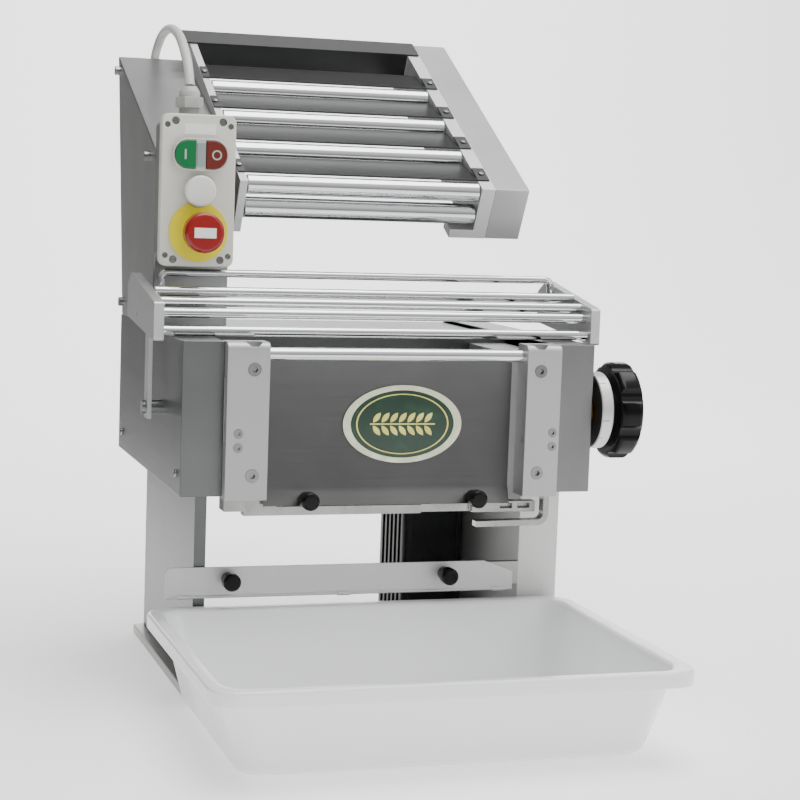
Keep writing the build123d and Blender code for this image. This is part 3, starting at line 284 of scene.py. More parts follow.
# %% Moulded plastic
def moulded_plastic(name, hex_code, roughness, grain=900.0, relief=0.10, coat=0.0, specular=0.5):
    material, tree, place = new_material(name)
    skin = add_node(tree, "ShaderNodeTexNoise", {"Vector": place, "Scale": grain, "Detail": 2.0})
    drift = add_node(tree, "ShaderNodeTexNoise", {"Vector": place, "Scale": 30.0, "Detail": 2.0})
    colour = linear(hex_code)
    dark = tuple(c * 0.9 for c in colour[:3]) + (1,)
    tint = add_node(tree, "ShaderNodeMix", {
        "Factor": drift.outputs["Fac"], "A": dark, "B": colour}, data_type="RGBA")
    gloss = add_node(tree, "ShaderNodeMapRange", {
        "Value": drift.outputs["Fac"], "To Min": roughness * 0.85, "To Max": roughness * 1.2})
    bump = add_node(tree, "ShaderNodeBump", {
        "Height": skin.outputs["Fac"], "Strength": relief, "Distance": 0.0002})
    shader = add_node(tree, "ShaderNodeBsdfPrincipled", {
        "Base Color": tint.outputs["Result"], "Roughness": gloss.outputs["Result"], "IOR": 1.5,
        "Specular IOR Level": specular, "Coat Weight": coat, "Coat Roughness": 0.08,
        "Normal": bump.outputs["Normal"]})
    finish_material(tree, shader)
    return material


lid_plastic = moulded_plastic("abs_light_grey", "D6D5CC", 0.46, relief=0.16)
box_plastic = moulded_plastic("abs_grey", "747470", 0.50, relief=0.16)
gland_plastic = moulded_plastic("polyamide_grey", "B4B5B1", 0.42)
sheath_plastic = moulded_plastic("pvc_sheath_grey", "C3C4C1", 0.40, relief=0.08)
bezel_plastic = moulded_plastic("abs_bezel_grey", "BDBEB6", 0.34)
green_plastic = moulded_plastic("polycarbonate_green", "006A38", 0.3, relief=0.04, coat=0.1)
dark_red_plastic = moulded_plastic("polycarbonate_dark_red", "661C12", 0.3, relief=0.04, coat=0.1)
lens_plastic = moulded_plastic("acrylic_smoke", "8E9C9A", 0.18, relief=0.02, coat=0.4)
white_plastic = moulded_plastic("polycarbonate_white", "E2E2E0", 0.26, relief=0.04, coat=0.3)
yellow_plastic = moulded_plastic("abs_yellow", "E6D919", 0.40)
red_plastic = moulded_plastic("abs_signal_red", "8C0703", 0.28, relief=0.04, coat=0.15)
label_film = moulded_plastic("polyester_label_white", "EDEDEA", 0.35, relief=0.02)
mark_paint = moulded_plastic("pad_print_pale", "A9B7AE", 0.5, relief=0.02)
scraper_plastic = moulded_plastic("polyethylene_cream", "DEDDD6", 0.42)
belt_rubber = moulded_plastic("neoprene_belt", "1C1C1C", 0.62, grain=1500.0, relief=0.3)
phenolic = moulded_plastic("phenolic_black", "050505", 0.2, relief=0.02, specular=0.2)
socket_black = moulded_plastic("burnished_socket", "161616", 0.5)
print("plastics:", lid_plastic.name, phenolic.name, red_plastic.name)

# %% [markdown]
# The catch tray is vacuum-formed white polyethylene. Light goes a little way into it, so its
# shadows are soft and never grey, and the heated sheet never cools quite flat, so the walls
# carry slow waves that bend the highlights. Both waves and scratches are in the bump.

# %% White tray plastic
def tray_polyethylene():
    material, tree, place = new_material("polyethylene_white_gloss")
    waves = add_node(tree, "ShaderNodeTexNoise", {"Vector": place, "Scale": 11.0, "Detail": 1.0})
    scuffs = add_node(tree, "ShaderNodeTexNoise", {"Vector": place, "Scale": 240.0, "Detail": 5.0})
    gloss = add_node(tree, "ShaderNodeMapRange", {
        "Value": scuffs.outputs["Fac"], "From Min": 0.3, "From Max": 0.7, "To Min": 0.16, "To Max": 0.26})
    slow = add_node(tree, "ShaderNodeBump", {
        "Height": waves.outputs["Fac"], "Strength": 0.5, "Distance": 0.010})
    fine = add_node(tree, "ShaderNodeBump", {
        "Height": scuffs.outputs["Fac"], "Strength": 0.05, "Distance": 0.0004,
        "Normal": slow.outputs["Normal"]})
    shader = add_node(tree, "ShaderNodeBsdfPrincipled", {
        "Base Color": linear("F7F8F9"), "Roughness": gloss.outputs["Result"], "IOR": 1.51,
        "Subsurface Weight": 0.15, "Subsurface Radius": (0.006, 0.006, 0.006), "Subsurface Scale": 1.0,
        "Coat Weight": 0.25, "Coat Roughness": 0.06, "Normal": fine.outputs["Normal"]})
    finish_material(tree, shader)
    return material


tray_plastic = tray_polyethylene()
print("tray:", tray_plastic.name)

# %% [markdown]
# The gear motor is a casting in sprayed black paint. Spray leaves orange peel, a pimpled skin
# with bumps about two millimetres wide, and flour dust leaves paler specks on it. The enamels of
# the badge take the same recipe with hardly any peel.

# %% Black machine paint and badge enamel
def machine_paint(name, hex_code, roughness, peel=0.25):
    material, tree, place = new_material(name)
    pimples = add_node(tree, "ShaderNodeTexNoise", {"Vector": place, "Scale": 420.0, "Detail": 2.0})
    dust = add_node(tree, "ShaderNodeTexNoise", {"Vector": place, "Scale": 60.0, "Detail": 6.0})
    colour = linear(hex_code)
    pale = tuple(min(1, c * 1.6 + 0.004) for c in colour[:3]) + (1,)
    amount = add_node(tree, "ShaderNodeMapRange", {
        "Value": dust.outputs["Fac"], "From Min": 0.5, "From Max": 0.8})
    tint = add_node(tree, "ShaderNodeMix", {
        "Factor": amount.outputs["Result"], "A": colour, "B": pale}, data_type="RGBA")
    bump = add_node(tree, "ShaderNodeBump", {
        "Height": pimples.outputs["Fac"], "Strength": peel, "Distance": 0.0004})
    shader = add_node(tree, "ShaderNodeBsdfPrincipled", {
        "Base Color": tint.outputs["Result"], "Roughness": roughness, "IOR": 1.5,
        "Normal": bump.outputs["Normal"]})
    finish_material(tree, shader)
    return material


motor_paint = machine_paint("paint_machine_black", "1E1F20", 0.42)
badge_green = machine_paint("enamel_bottle_green", "1F3A2B", 0.30, peel=0.05)
badge_cream = machine_paint("enamel_cream", "D9DDBE", 0.34, peel=0.05)
badge_straw = machine_paint("enamel_straw", "E2D873", 0.36, peel=0.05)
print("paints:", motor_paint.name, badge_green.name)

# %% [markdown]
# ## Rounding the edges of the CAD pieces
# Nothing made of metal or plastic has a perfectly sharp edge: bent sheet has a bend radius, and
# machined edges are broken with a file. Those tiny rounds catch the light and make a part
# look real. A CAD mesh is loose triangles, so a copy of it is merged, its flat faces are joined,
# and a Bevel modifier rounds what is left. The CAD node is hidden and the copy stands for it.

# %% A copy of a CAD node with rounded edges
def put_on_body(piece, material, body, hides=()):
    """The last step of every piece: its finish, its body and the nodes that it stands for."""
    piece.data.materials.clear()
    piece.data.materials.append(material)
    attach(piece, body)
    if hides:
        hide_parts(*hides)


def only(piece):
    nothing_selected()
    piece.select_set(True)
    bpy.context.view_layer.objects.active = piece


def bevel_and_smooth(piece, radius, segments=3, sharp=32):
    """Rounds the sharp edges by radius, in metres, and smooths what is nearly flat."""
    only(piece)
    bpy.ops.object.shade_smooth()
    if radius:
        bevel = piece.modifiers.new("edges", "BEVEL")
        bevel.width = radius
        bevel.segments = segments
        bevel.limit_method = "ANGLE"
        bevel.angle_limit = math.radians(sharp)
        bevel.harden_normals = True
        bevel.use_clamp_overlap = True
        bpy.ops.object.modifier_apply(modifier=bevel.name)
    else:
        bpy.ops.object.shade_smooth_by_angle(angle=math.radians(sharp))


def body_of_node(node):
    for body, members in frame["record"]["behaviour"]["bodies"].items():
        if node in members:
            return body


def rounded_copy(node, material, radius_mm, segments=3):
    """Copies a CAD node, joins its triangles, rounds its edges and lets it stand for the node."""
    source = frame["nodes"][node]
    mesh = source.data.copy()
    piece = bpy.data.objects.new(node + "_finished", mesh)
    scene.collection.objects.link(piece)
    only(piece)
    bpy.ops.object.mode_set(mode="EDIT")
    bpy.ops.mesh.select_all(action="SELECT")
    bpy.ops.mesh.customdata_custom_splitnormals_clear()
    bpy.ops.mesh.remove_doubles(threshold=0.000002)
    bpy.ops.mesh.dissolve_limited(angle_limit=math.radians(0.6))
    bpy.ops.object.mode_set(mode="OBJECT")
    bevel_and_smooth(piece, radius_mm * MM, segments)
    put_on_body(piece, material, body_of_node(node), (node,))
    return piece


# %% [markdown]
# Sheet parts get the bend radius of 1.5 mm sheet. Thick plates get the half millimetre of a
# broken edge. Round bars only need smooth shading, because the CAD model has their chamfers.

# %% Dress the CAD nodes
FINISHES = (
    (("left_side_cover",), side_steel_painted_shade, 1.2), (("right_side_cover",), right_steel_painted_shade, 1.2),
    (("rear_cover",), side_steel_painted_shade, 0.4), (("left_column",), cover_steel, 1.2),
    (("right_leg",), leg_steel_painted_glare, 1.0), (("left_side_frame",), side_steel_painted_shade, 0.5),
    (("right_side_frame", "cross_bar", "sliding_bearings"), plate_steel, 0.4),
    (("base_plate",), plate_steel, 1.0), (("front_panel",), panel_steel, 0.3),
    (("left_front_block", "right_front_block"), block_alu, 0.8),
    (("left_bearing_cheek", "right_bearing_cheek"), block_alu, 0.5),
    (("guard_left_plate", "guard_right_plate"), guard_alu, 0.7),
    (("infeed_left_plate", "infeed_right_plate"), guard_alu, 0.5),
    (("infeed_drive_cover",), cover_steel, 0.9), (("infeed_slats",), slat_steel_painted_shade, 0.25),
    (("scraper_carrier",), turned_steel, 0.4), (("hanger_bar",), turned_steel, 0.3),
    (("scrapers",), scraper_plastic, 0.5), (("deflector_plate",), leg_steel_painted_glare, 0.25),
    (("front_roller", "rear_roller", "guide_bar", "guard_rods", "guard_top_bar"), chrome, 0.0),
    (("infeed_nip_roller",) + tuple("infeed_roller_%d" % n for n in (1, 2, 3, 4)), chrome, 0.0),
    (("front_gear", "rear_gear_and_pulley", "motor_pulley"), turned_steel, 0.2),
    (("adjuster_spindle",), guard_alu, 0.3), (("roller_bushes",), bronze, 0.2),
    (("drive_belts",), belt_rubber, 0.2), (("gear_motor",), motor_paint, 1.2),
    (("control_box",), box_plastic, 0.6), (("control_lid",), lid_plastic, 0.3),
    (("fixing_screws",), screw_steel, 0.2), (("twin_bezel",), bezel_plastic, 0.3),
    (("start_button",), green_plastic, 0.8), (("stop_button",), dark_red_plastic, 0.8),
    (("reset_button",), white_plastic, 0.3), (("stop_plate",), yellow_plastic, 0.3),
    (("stop_mushroom",), red_plastic, 0.3), (("cable_glands",), gland_plastic, 0.4),
    (("panel_badge",), badge_green, 0.0),
)
for names, material, radius in FINISHES:
    for name in names:
        rounded_copy(name, material, radius)
put_on_body(cable, sheath_plastic, "machine", ("control_cable",))
print("dressed", sum(len(names) for names, _, _ in FINISHES), "nodes and the cable")

# %% [markdown]
# The handwheel and the four clamp knobs are polished black phenolic. A moulding like this has
# large soft edges, so the copies get a wide bevel.

# %% Handwheel and knobs
rounded_copy("handwheel", phenolic, 1.6, segments=4)
for name in ("panel_knob_1", "panel_knob_2", "deflector_knob_1", "deflector_knob_2"):
    rounded_copy(name, phenolic, 0.6)
wheel_low, wheel_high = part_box("handwheel")
print("handwheel", round((wheel_high.z - wheel_low.z) * 1000), "mm across")

# %% [markdown]
# ## Tools for pieces modelled by hand
# Each new piece starts as a primitive at its real size and place. Faces and edges are picked by
# where they are, then extruded, inset or bevelled. The object's transform is applied last, so the
# place of the piece is in its mesh.

# %% Primitives and selection by place
def start_mesh(name):
    """Names the primitive just added, applies its transform and returns it."""
    piece = bpy.context.object
    piece.name = name
    bpy.ops.object.transform_apply(location=True, rotation=True, scale=True)
    return piece


def box_piece(name, low, high):
    """A box between two corners, given in metres."""
    nothing_selected()
    middle = [(a + b) / 2 for a, b in zip(low, high)]
    bpy.ops.mesh.primitive_cube_add(size=1, location=middle)
    bpy.context.object.scale = [b - a for a, b in zip(low, high)]
    return start_mesh(name)


def disc_piece(name, middle, radius, depth, axis, corners=48):
    """A cylinder centred at a point, along axis X, Y or Z."""
    nothing_selected()
    turn = {"X": (0, math.pi / 2, 0), "Y": (math.pi / 2, 0, 0), "Z": (0, 0, 0)}[axis]
    bpy.ops.mesh.primitive_cylinder_add(
        vertices=corners, radius=radius, depth=depth, location=middle, rotation=turn)
    return start_mesh(name)


def pick(piece, kind, test):
    """In edit mode: selects the faces, edges or vertices whose middle passes the test."""
    only(piece)
    bpy.ops.object.mode_set(mode="EDIT")
    bpy.ops.mesh.select_mode(type=kind)
    bpy.ops.mesh.select_all(action="DESELECT")
    bpy.ops.object.mode_set(mode="OBJECT")
    mesh = piece.data
    if kind == "FACE":
        for face in mesh.polygons:
            face.select = test(face.center, face.normal)
    elif kind == "EDGE":
        for edge in mesh.edges:
            ends = [mesh.vertices[i].co for i in edge.vertices]
            edge.select = test((ends[0] + ends[1]) / 2, (ends[1] - ends[0]).normalized())
    else:
        for vertex in mesh.vertices:
            vertex.select = test(vertex.co, vertex.normal)
    bpy.ops.object.mode_set(mode="EDIT")


def join(pieces, name):
    """Joins finished pieces of one material into the first of them."""
    nothing_selected()
    for piece in pieces:
        piece.select_set(True)
    bpy.context.view_layer.objects.active = pieces[0]
    bpy.ops.object.join()
    pieces[0].name = name
    return pieces[0]


# %% [markdown]
# ## The catch tray
# A vacuum-formed tray is one sheet: floor, sloping walls, a flat rim and a lip turned down. The
# side that touches the dough is modelled, from a plane that is extruded ring by ring, and a
# Solidify modifier then gives the sheet its thickness below. The folds are rounded before that,
# with the wide radii that a heated sheet takes over a mould.

# %% Model the tray
TRAY_SHEET = 2.6 * MM
TRAY_FLANGE = 15 * MM
TRAY_TAPER = (70 * MM, 80 * MM)     # how much smaller the floor is than the rim
TRAY_CORNER = 22 * MM
RIM_FALL = 0.8 * MM                 # the rim falls inwards by this much
LIP = 14 * MM
FOOT_SPREAD = (155 * MM, 96 * MM)
FOOT_RADIUS = 9 * MM
FOOT_HIGH = 2.6 * MM
FLOOR_CLEARANCE = 2.2 * MM          # the feet lift the sheet by this much
tray_low, tray_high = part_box("catch_tray")
tray_middle = (tray_low + tray_high) / 2
rim_size = tray_high - tray_low
floor_size = (rim_size.x - TRAY_TAPER[0], rim_size.y - TRAY_TAPER[1])
floor_z = tray_low.z + FLOOR_CLEARANCE + TRAY_SHEET
wall_top = (rim_size.x - 2 * TRAY_FLANGE, rim_size.y - 2 * TRAY_FLANGE)

nothing_selected()
bpy.ops.mesh.primitive_plane_add(size=1, location=(tray_middle.x, tray_middle.y, floor_z))
bpy.context.object.scale = (floor_size[0], floor_size[1], 1)
tray = start_mesh("catch_tray_sheet")
pick(tray, "VERT", lambda place, normal: True)
bpy.ops.mesh.bevel(offset=TRAY_CORNER, segments=14, affect="VERTICES")


def next_ring(height, size_now, size_next):
    """Extrudes the open face or loop, lifts it, and spreads it to its next outline."""
    bpy.ops.mesh.extrude_region_move(TRANSFORM_OT_translate={"value": (0, 0, height)})
    spread = (size_next[0] / size_now[0], size_next[1] / size_now[1], 1)
    bpy.ops.transform.resize(value=spread, center_override=tuple(tray_middle))


def at_height(height):
    """A test for the edges of the ring at that height."""
    return lambda place, way: abs(place.z - height) < 0.2 * MM and abs(way.z) < 0.1


pick(tray, "FACE", lambda place, normal: True)
next_ring(tray_high.z - RIM_FALL - floor_z, floor_size, wall_top)
bpy.ops.mesh.delete(type="ONLY_FACE")
pick(tray, "EDGE", at_height(tray_high.z - RIM_FALL))
next_ring(RIM_FALL, wall_top, (rim_size.x, rim_size.y))
next_ring(-LIP, (1, 1), (1, 1))
bpy.ops.mesh.select_all(action="SELECT")
bpy.ops.mesh.normals_make_consistent(inside=False)
bpy.ops.object.mode_set(mode="OBJECT")
if sum(f.area * f.normal.z for f in tray.data.polygons) < 0:
    only(tray)
    bpy.ops.object.mode_set(mode="EDIT")
    bpy.ops.mesh.select_all(action="SELECT")
    bpy.ops.mesh.flip_normals()
    bpy.ops.object.mode_set(mode="OBJECT")
print("tray sheet has", len(tray.data.polygons), "faces before its folds are rounded")

# %% Round the folds and give the sheet its thickness
# The weight of an edge is its share of the modifier's width, so one Bevel rounds all three folds,
# each with its own radius.
FOLD = 10 * MM
for height, radius in ((floor_z, 10 * MM), (tray_high.z - RIM_FALL, 4.5 * MM), (tray_high.z, 3.6 * MM)):
    pick(tray, "EDGE", at_height(height))
    bpy.ops.transform.edge_bevelweight(value=radius / FOLD)
    bpy.ops.object.mode_set(mode="OBJECT")
only(tray)
folds = tray.modifiers.new("folds", "BEVEL")
folds.limit_method = "WEIGHT"
folds.width = FOLD
folds.segments = 6
folds.use_clamp_overlap = False
bpy.ops.object.modifier_apply(modifier=folds.name)
sheet = tray.modifiers.new("sheet", "SOLIDIFY")
sheet.thickness = TRAY_SHEET
sheet.offset = -1
bpy.ops.object.modifier_apply(modifier=sheet.name)
bpy.ops.object.shade_smooth_by_angle(angle=math.radians(50))
feet = []
for side_x in (-1, 1):
    for side_y in (-1, 1):
        place = (tray_middle.x + side_x * FOOT_SPREAD[0], tray_middle.y + side_y * FOOT_SPREAD[1],
                 tray_low.z + FOOT_HIGH / 2)
        foot = disc_piece("foot", place, FOOT_RADIUS, FOOT_HIGH, "Z")
        bevel_and_smooth(foot, 0.6 * MM)
        feet.append(foot)
tray = join([tray] + feet, "catch_tray_moulded")
put_on_body(tray, tray_plastic, "catch_tray", ("catch_tray",))
print("tray", [round(v * 1000) for v in tray.dimensions], "mm")

# %% [markdown]
# ## The oval badge
# The badge is a pressed plate with a raised border and a printed field. The border is an oval
# ring, made from a disc whose two faces are inset and bridged, and then squeezed to the oval. The motif
# is a plain one, a row of leaves on a stem, and there is no lettering.

# %% Badge border, field and motif
badge_low, badge_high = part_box("panel_badge")
badge_middle = (badge_low + badge_high) / 2
badge_half = ((badge_high.x - badge_low.x) / 2, (badge_high.z - badge_low.z) / 2)


def oval_ring(name, outer, inner, proud, material):
    """A flat oval ring on the badge, from outer to inner share of the badge, proud by that much."""
    nothing_selected()
    bpy.ops.mesh.primitive_cylinder_add(
        vertices=96, radius=1, depth=1, location=(0, 0, 0), rotation=(math.pi / 2, 0, 0))
    ring = start_mesh(name)
    if inner:
        pick(ring, "FACE", lambda place, normal: abs(normal.y) > 0.9)
        bpy.ops.mesh.inset(thickness=1 - inner / outer)
        bpy.ops.mesh.bridge_edge_loops()
        bpy.ops.object.mode_set(mode="OBJECT")
    ring.scale = (badge_half[0] * outer, proud, badge_half[1] * outer)
    ring.location = (badge_middle.x, badge_low.y - proud / 2 + 0.25 * MM, badge_middle.z)
    only(ring)
    bpy.ops.object.transform_apply(location=True, rotation=True, scale=True)
    bevel_and_smooth(ring, 0.15 * MM, segments=2)
    put_on_body(ring, material, "machine")
    return ring


oval_ring("badge_border", 1.0, 0.87, 0.8 * MM, badge_cream)
oval_ring("badge_inner_line", 0.78, 0.755, 0.55 * MM, badge_straw)


def leaf(place, lean, size):
    """A pointed oval, from a squeezed twenty-sided disc."""
    nothing_selected()
    bpy.ops.mesh.primitive_cylinder_add(
        vertices=20, radius=size, depth=0.5 * MM, location=(0, 0, 0), rotation=(math.pi / 2, 0, 0))
    shape = start_mesh("leaf")
    for vertex in shape.data.vertices:
        share = vertex.co.z / size
        vertex.co.x *= 0.42 * math.sqrt(max(0.0, 1 - share * share)) + 0.02
    shape.rotation_euler = (0, lean, 0)
    shape.location = place
    only(shape)
    bpy.ops.object.transform_apply(location=True, rotation=True, scale=True)
    return shape


LEAF_STEP = 9 * MM
LEAF_RISE = 6.5 * MM
LEAF_SIZE = 6.2 * MM
LEAF_LEAN = math.radians(38)
STEM_HALF = (34 * MM, 0.25 * MM, 0.7 * MM)
leaves = []
front_of_badge = badge_low.y - 0.05 * MM
for step in range(-3, 4):
    for side in (-1, 1):
        place = (badge_middle.x + step * LEAF_STEP, front_of_badge, badge_middle.z + side * LEAF_RISE)
        leaves.append(leaf(place, LEAF_LEAN * side, LEAF_SIZE))
stem_middle = (badge_middle.x, front_of_badge, badge_middle.z)
stem_low = [middle - half for middle, half in zip(stem_middle, STEM_HALF)]
stem_high = [middle + half for middle, half in zip(stem_middle, STEM_HALF)]
motif = join(leaves + [box_piece("stem", stem_low, stem_high)], "badge_motif")
put_on_body(motif, badge_straw, "machine")
print("badge", [round(v * 2000) for v in badge_half], "mm with", len(leaves), "leaves")

# %% [markdown]
# ## The control panel's small parts
# Between the green and the red half of the twin button sits a smoke-grey lamp strip. A blank
# label is stuck above it and another on the mushroom head, where a real machine carries print.

# %% Lamp strip, labels and button marks
twin_low, twin_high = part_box("twin_bezel")
twin_middle = (twin_low + twin_high) / 2
lid_low, lid_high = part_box("control_lid")
STRIP_HALF = (4.2 * MM, 12 * MM)
LABEL_HALF = (16 * MM, 5.25 * MM)
LABEL_DOWN = 14.75 * MM             # from the top of the lid to the middle of its label
CAP_LABEL_HALF = (11 * MM, 5 * MM)
BAR_HALF = (0.9 * MM, 5 * MM)
RING_MARK_RADIUS = 5 * MM
RING_MARK_WIDTH = 1.5 * MM


def stuck_on(name, x, z, front, half, proud, sunk):
    """A thin plate centred at x and z; it stands proud of the face at front and reaches into it."""
    low = (x - half[0], front - proud, z - half[1])
    return box_piece(name, low, (x + half[0], front + sunk, z + half[1]))


strip = stuck_on("lamp_strip", twin_middle.x, twin_middle.z, twin_low.y, STRIP_HALF, 1.2 * MM, 0.8 * MM)
bevel_and_smooth(strip, 0.7 * MM)
put_on_body(strip, lens_plastic, "machine")

label = stuck_on(
    "blank_label", twin_middle.x, lid_high.z - LABEL_DOWN, lid_low.y, LABEL_HALF, 0.25 * MM, 0.3 * MM)
bevel_and_smooth(label, 0.12 * MM, segments=2)
put_on_body(label, label_film, "machine")

head_low, head_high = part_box("stop_mushroom")
head_x, head_z = (head_low.x + head_high.x) / 2, (head_low.z + head_high.z) / 2
cap_label = stuck_on("stop_label", head_x, head_z, head_low.y, CAP_LABEL_HALF, 0.2 * MM, 0.3 * MM)
bevel_and_smooth(cap_label, 0.1 * MM, segments=2)
put_on_body(cap_label, label_film, "stop_mushroom")

green_low, green_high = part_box("start_button")
red_low, red_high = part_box("stop_button")
green_x = (green_low.x + green_high.x) / 2
red_x = (red_low.x + red_high.x) / 2
mark_z = (green_low.z + green_high.z) / 2
green_mark = stuck_on("start_mark", green_x, mark_z, green_low.y, BAR_HALF, 0.15 * MM, 0.1 * MM)
put_on_body(green_mark, mark_paint, "start_button")
ring_place = (red_x, red_low.y - 0.02 * MM, mark_z)
red_mark = disc_piece("stop_mark", ring_place, RING_MARK_RADIUS, 0.25 * MM, "Y")
pick(red_mark, "FACE", lambda place, normal: abs(normal.y) > 0.9)
bpy.ops.mesh.inset(thickness=RING_MARK_WIDTH)
bpy.ops.mesh.bridge_edge_loops()
bpy.ops.object.mode_set(mode="OBJECT")
put_on_body(red_mark, mark_paint, "stop_button")
print("control panel dressed")

# %% [markdown]
# ## Index marks and small hardware
# The ring beside the handwheel carries the thickness marks: eleven engraved lines, filled with
# black. Covers need screws: pan heads with a cross slot would be seen only close up, so each is
# a domed head with a round socket.

# %% Index lines on the ring
spindle_low, spindle_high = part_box("adjuster_spindle")
axis_y = (wheel_low.y + wheel_high.y) / 2
axis_z = (wheel_low.z + wheel_high.z) / 2
ring_radius = (spindle_high.z - spindle_low.z) / 2
ring_edge = 219.5 * MM
lines = []
for step in range(11):
    angle = math.radians(100 + step * 30)
    long = 1.0 if step % 5 else 1.6
    line = box_piece("line", (ring_edge, -0.35 * MM, ring_radius - 0.2 * MM),
                     (ring_edge + 4.5 * MM * long, 0.35 * MM, ring_radius + 0.05 * MM))
    line.data.transform(Matrix.Translation((0, axis_y, axis_z)) @ Matrix.Rotation(angle, 4, "X"))
    lines.append(line)
back_of_ring = (ring_edge - 1.1 * MM, axis_y, axis_z)
ring_back = disc_piece("ring_back", back_of_ring, ring_radius - 1.5 * MM, 0.4 * MM, "X", 64)
lines.append(ring_back)
index_lines = join(lines, "index_lines")
put_on_body(index_lines, socket_black, "adjuster")
print(len(lines) - 1, "index lines at radius", round(ring_radius * 1000, 1), "mm")

# %% Button-head screws
def button_screw(place, axis, way, radius=4 * MM, lean=0.0):
    """A domed head with a round socket; way is +1 or -1, the side it is seen from; lean turns it."""
    high = radius * 0.5
    head = disc_piece("screw", (0, 0, high / 2), radius, high, "Z", 32)
    pick(head, "EDGE", lambda place, run: abs(place.z - high) < 1e-5 and abs(run.z) < 0.1)
    bpy.ops.mesh.bevel(offset=high * 0.8, segments=5)
    bpy.ops.object.mode_set(mode="OBJECT")
    pick(head, "FACE", lambda place, normal: normal.z > 0.99 and place.z > high * 0.9)
    bpy.ops.mesh.inset(thickness=radius * 0.18)
    bpy.ops.mesh.extrude_region_move(TRANSFORM_OT_translate={"value": (0, 0, -high * 0.6)})
    bpy.ops.object.mode_set(mode="OBJECT")
    bevel_and_smooth(head, 0, sharp=35)
    turn = {"X": Matrix.Rotation(way * math.pi / 2, 4, "Y"),
            "Y": Matrix.Rotation(-way * math.pi / 2, 4, "X"),
            "Z": Matrix.Identity(4)}[axis]
    head.data.transform(Matrix.Translation(place) @ Matrix.Rotation(-lean, 4, "X") @ turn)
    return head


left_low, left_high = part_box("left_side_cover")
right_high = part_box("right_side_cover")[1]
rear_low, rear_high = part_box("rear_cover")
column_low, column_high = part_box("left_column")
SMALL_SCREW = 3.2 * MM
SIDE_INSET = 22 * MM                # from the ends of a side cover to its screws
EDGE_INSET = 20 * MM                # and from its lower and upper edge
REAR_SCREW_X = (-155 * MM, -50 * MM, 50 * MM, 155 * MM)
COLUMN_INSET = 12 * MM
heads = []
for y in (left_low.y + SIDE_INSET, left_high.y - SIDE_INSET):
    for z in (left_low.z + EDGE_INSET, left_high.z - EDGE_INSET):
        heads.append(button_screw((right_high.x, y, z), "X", 1))
    heads.append(button_screw((left_low.x, y, left_low.z + EDGE_INSET), "X", -1))
for x in REAR_SCREW_X:
    for z in (rear_low.z + 12 * MM, rear_high.z - 15 * MM):
        heads.append(button_screw((x, rear_high.y, z), "Y", 1, SMALL_SCREW))
back_foot = 159.5 * MM
back_lean = math.atan2(column_high.y - back_foot, column_high.z - column_low.z)
for x in (column_low.x + COLUMN_INSET, column_high.x - COLUMN_INSET):
    for z in (column_low.z + COLUMN_INSET, column_high.z - 30 * MM):
        y = back_foot + (z - column_low.z) * math.tan(back_lean)
        heads.append(button_screw((x, y, z), "Y", 1, SMALL_SCREW, back_lean))
screws = join(heads, "cover_screws")
put_on_body(screws, screw_steel, "machine")
print(len(heads), "button-head screws")

# %% [markdown]
# ## Floor, backdrop and light
# The floor and the wall behind are one sweep of pale sheet lit from beneath, as on a product
# table, so no corner is seen and it stays nearly white. A large softbox hangs overhead, a weaker
# one stands to the right of the camera, and one lights the sweep itself. The far left of the sweep
# is shaded grey, out of the camera's view, because the left faces mirror it and need to stay dark. The sky
# is pale above and dark below, behind and to the left, which gives chrome its two tones.

# %% Paper sweep
PAPER_SIZE = (12.0, 7.0)
WALL_HEIGHT = 2.2
SWEEP_RADIUS = 1.4
GLOW = 0.62                         # light that comes up through the sheet
wall_y = PAPER_SIZE[1] / 2 - 0.1    # anything behind this is the far edge of the sheet

nothing_selected()
bpy.ops.mesh.primitive_plane_add(size=1, location=(0, 0, 0))
paper = bpy.context.object
paper.name = "paper_sweep"
paper.scale = (PAPER_SIZE[0], PAPER_SIZE[1], 1)
bpy.ops.object.transform_apply(location=True, rotation=True, scale=True)
pick(paper, "EDGE", lambda place, way: place.y > wall_y)
bpy.ops.mesh.extrude_region_move(TRANSFORM_OT_translate={"value": (0, 0, WALL_HEIGHT)})
bpy.ops.object.mode_set(mode="OBJECT")
pick(paper, "EDGE", lambda place, way: place.y > wall_y and abs(place.z) < 0.01)
bpy.ops.mesh.bevel(offset=SWEEP_RADIUS, segments=16)
bpy.ops.object.mode_set(mode="OBJECT")
only(paper)
bpy.ops.object.shade_smooth()
paper_material, tree, place = new_material("paper_white")
fibre = add_node(tree, "ShaderNodeTexNoise", {"Vector": place, "Scale": 300.0, "Detail": 3.0})
paper_tint = add_node(tree, "ShaderNodeMix", {
    "Factor": fibre.outputs["Fac"], "A": linear("F4F4F3"), "B": linear("F9F9F8")}, data_type="RGBA")
where = add_node(tree, "ShaderNodeSeparateXYZ", {"Vector": place})
far = add_node(tree, "ShaderNodeMapRange", {"Value": where.outputs["Y"], "From Min": 0.1, "From Max": 0.7})
left = add_node(tree, "ShaderNodeMapRange", {
    "Value": where.outputs["X"], "From Min": -0.34, "From Max": -0.62})
shade = add_node(tree, "ShaderNodeMath", {
    0: far.outputs["Result"], 1: left.outputs["Result"]}, operation="MULTIPLY")
graded = add_node(tree, "ShaderNodeMix", {
    "Factor": shade.outputs["Value"], "A": paper_tint.outputs["Result"],
    "B": linear("4A4A4A")}, data_type="RGBA")
glow = add_node(tree, "ShaderNodeMapRange", {
    "Value": shade.outputs["Value"], "From Min": 0.0, "From Max": 1.0, "To Min": GLOW, "To Max": 0.0})
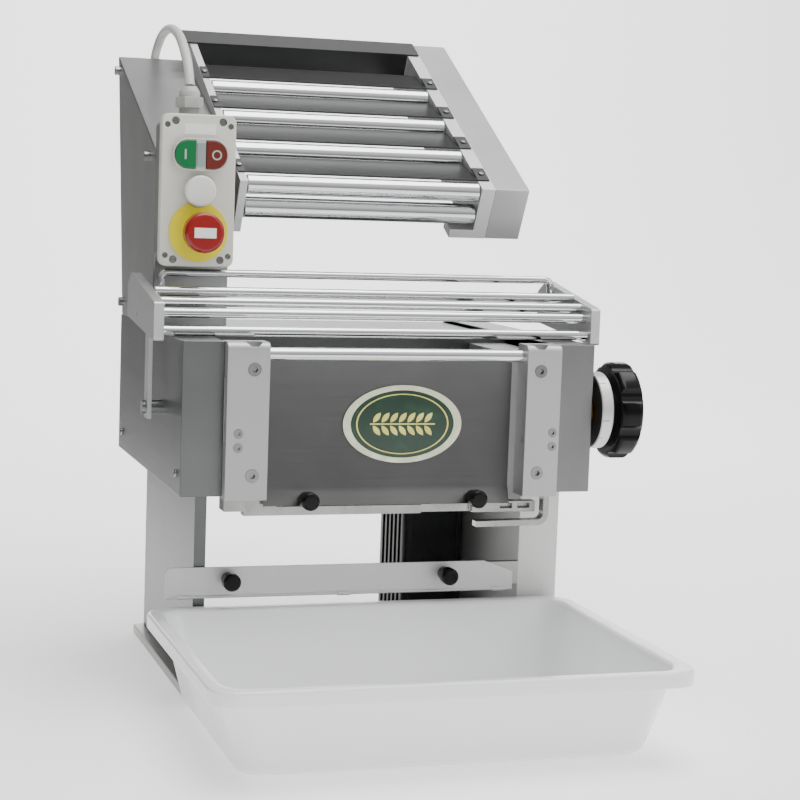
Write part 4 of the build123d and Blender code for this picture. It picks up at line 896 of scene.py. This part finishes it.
finish_material(tree, add_node(tree, "ShaderNodeBsdfPrincipled", {
    "Base Color": graded.outputs["Result"], "Roughness": 0.9,
    "Emission Color": linear("FFFFFF"), "Emission Strength": glow.outputs["Result"]}))
paper.data.materials.append(paper_material)


# %% Lamps and sky
def softbox(name, place, target, size, power):
    """A rectangular area lamp that faces its target."""
    nothing_selected()
    bpy.ops.object.light_add(type="AREA", location=place)
    lamp = bpy.context.object
    lamp.name = name
    lamp.data.shape = "RECTANGLE"
    lamp.data.size, lamp.data.size_y = size
    lamp.data.energy = power
    lamp.rotation_euler = (Vector(target) - Vector(place)).to_track_quat("-Z", "Y").to_euler()
    return lamp


softbox("overhead_box", (0.3, -0.2, 2.3), (0, 0, 0.3), (2.2, 1.6), 60)
softbox("right_box", (2.1, -1.9, 1.5), (0, 0, 0.35), (1.2, 1.6), 16)
softbox("paper_box", (0.6, 1.5, 2.4), (0.8, 3.2, 0.9), (3.0, 1.2), 90)

world = bpy.data.worlds.new("studio_sky")
scene.world = world
world.use_nodes = True
sky = world.node_tree
sky.nodes.clear()
direction = add_node(sky, "ShaderNodeTexCoord").outputs["Generated"]
parts = add_node(sky, "ShaderNodeSeparateXYZ", {"Vector": direction})
tone = add_node(sky, "ShaderNodeMapRange", {
    "Value": parts.outputs["Z"], "From Min": -0.05, "From Max": 0.65, "To Min": 0.30, "To Max": 1.0})
side = add_node(sky, "ShaderNodeMapRange", {
    "Value": parts.outputs["X"], "From Min": -0.9, "From Max": 0.3, "To Min": 0.35, "To Max": 1.0})
back = add_node(sky, "ShaderNodeMapRange", {
    "Value": parts.outputs["Y"], "From Min": 0.15, "From Max": 0.65, "To Min": 1.0, "To Max": 0.22})
both = add_node(sky, "ShaderNodeMath", {
    0: tone.outputs["Result"], 1: side.outputs["Result"]}, operation="MULTIPLY")
all_three = add_node(sky, "ShaderNodeMath", {
    0: both.outputs["Value"], 1: back.outputs["Result"]}, operation="MULTIPLY")
background = add_node(sky, "ShaderNodeBackground", {"Color": all_three.outputs["Value"], "Strength": 1.1})
add_node(sky, "ShaderNodeOutputWorld", {"Surface": background.outputs["Background"]})
print("three softboxes and a graded sky")
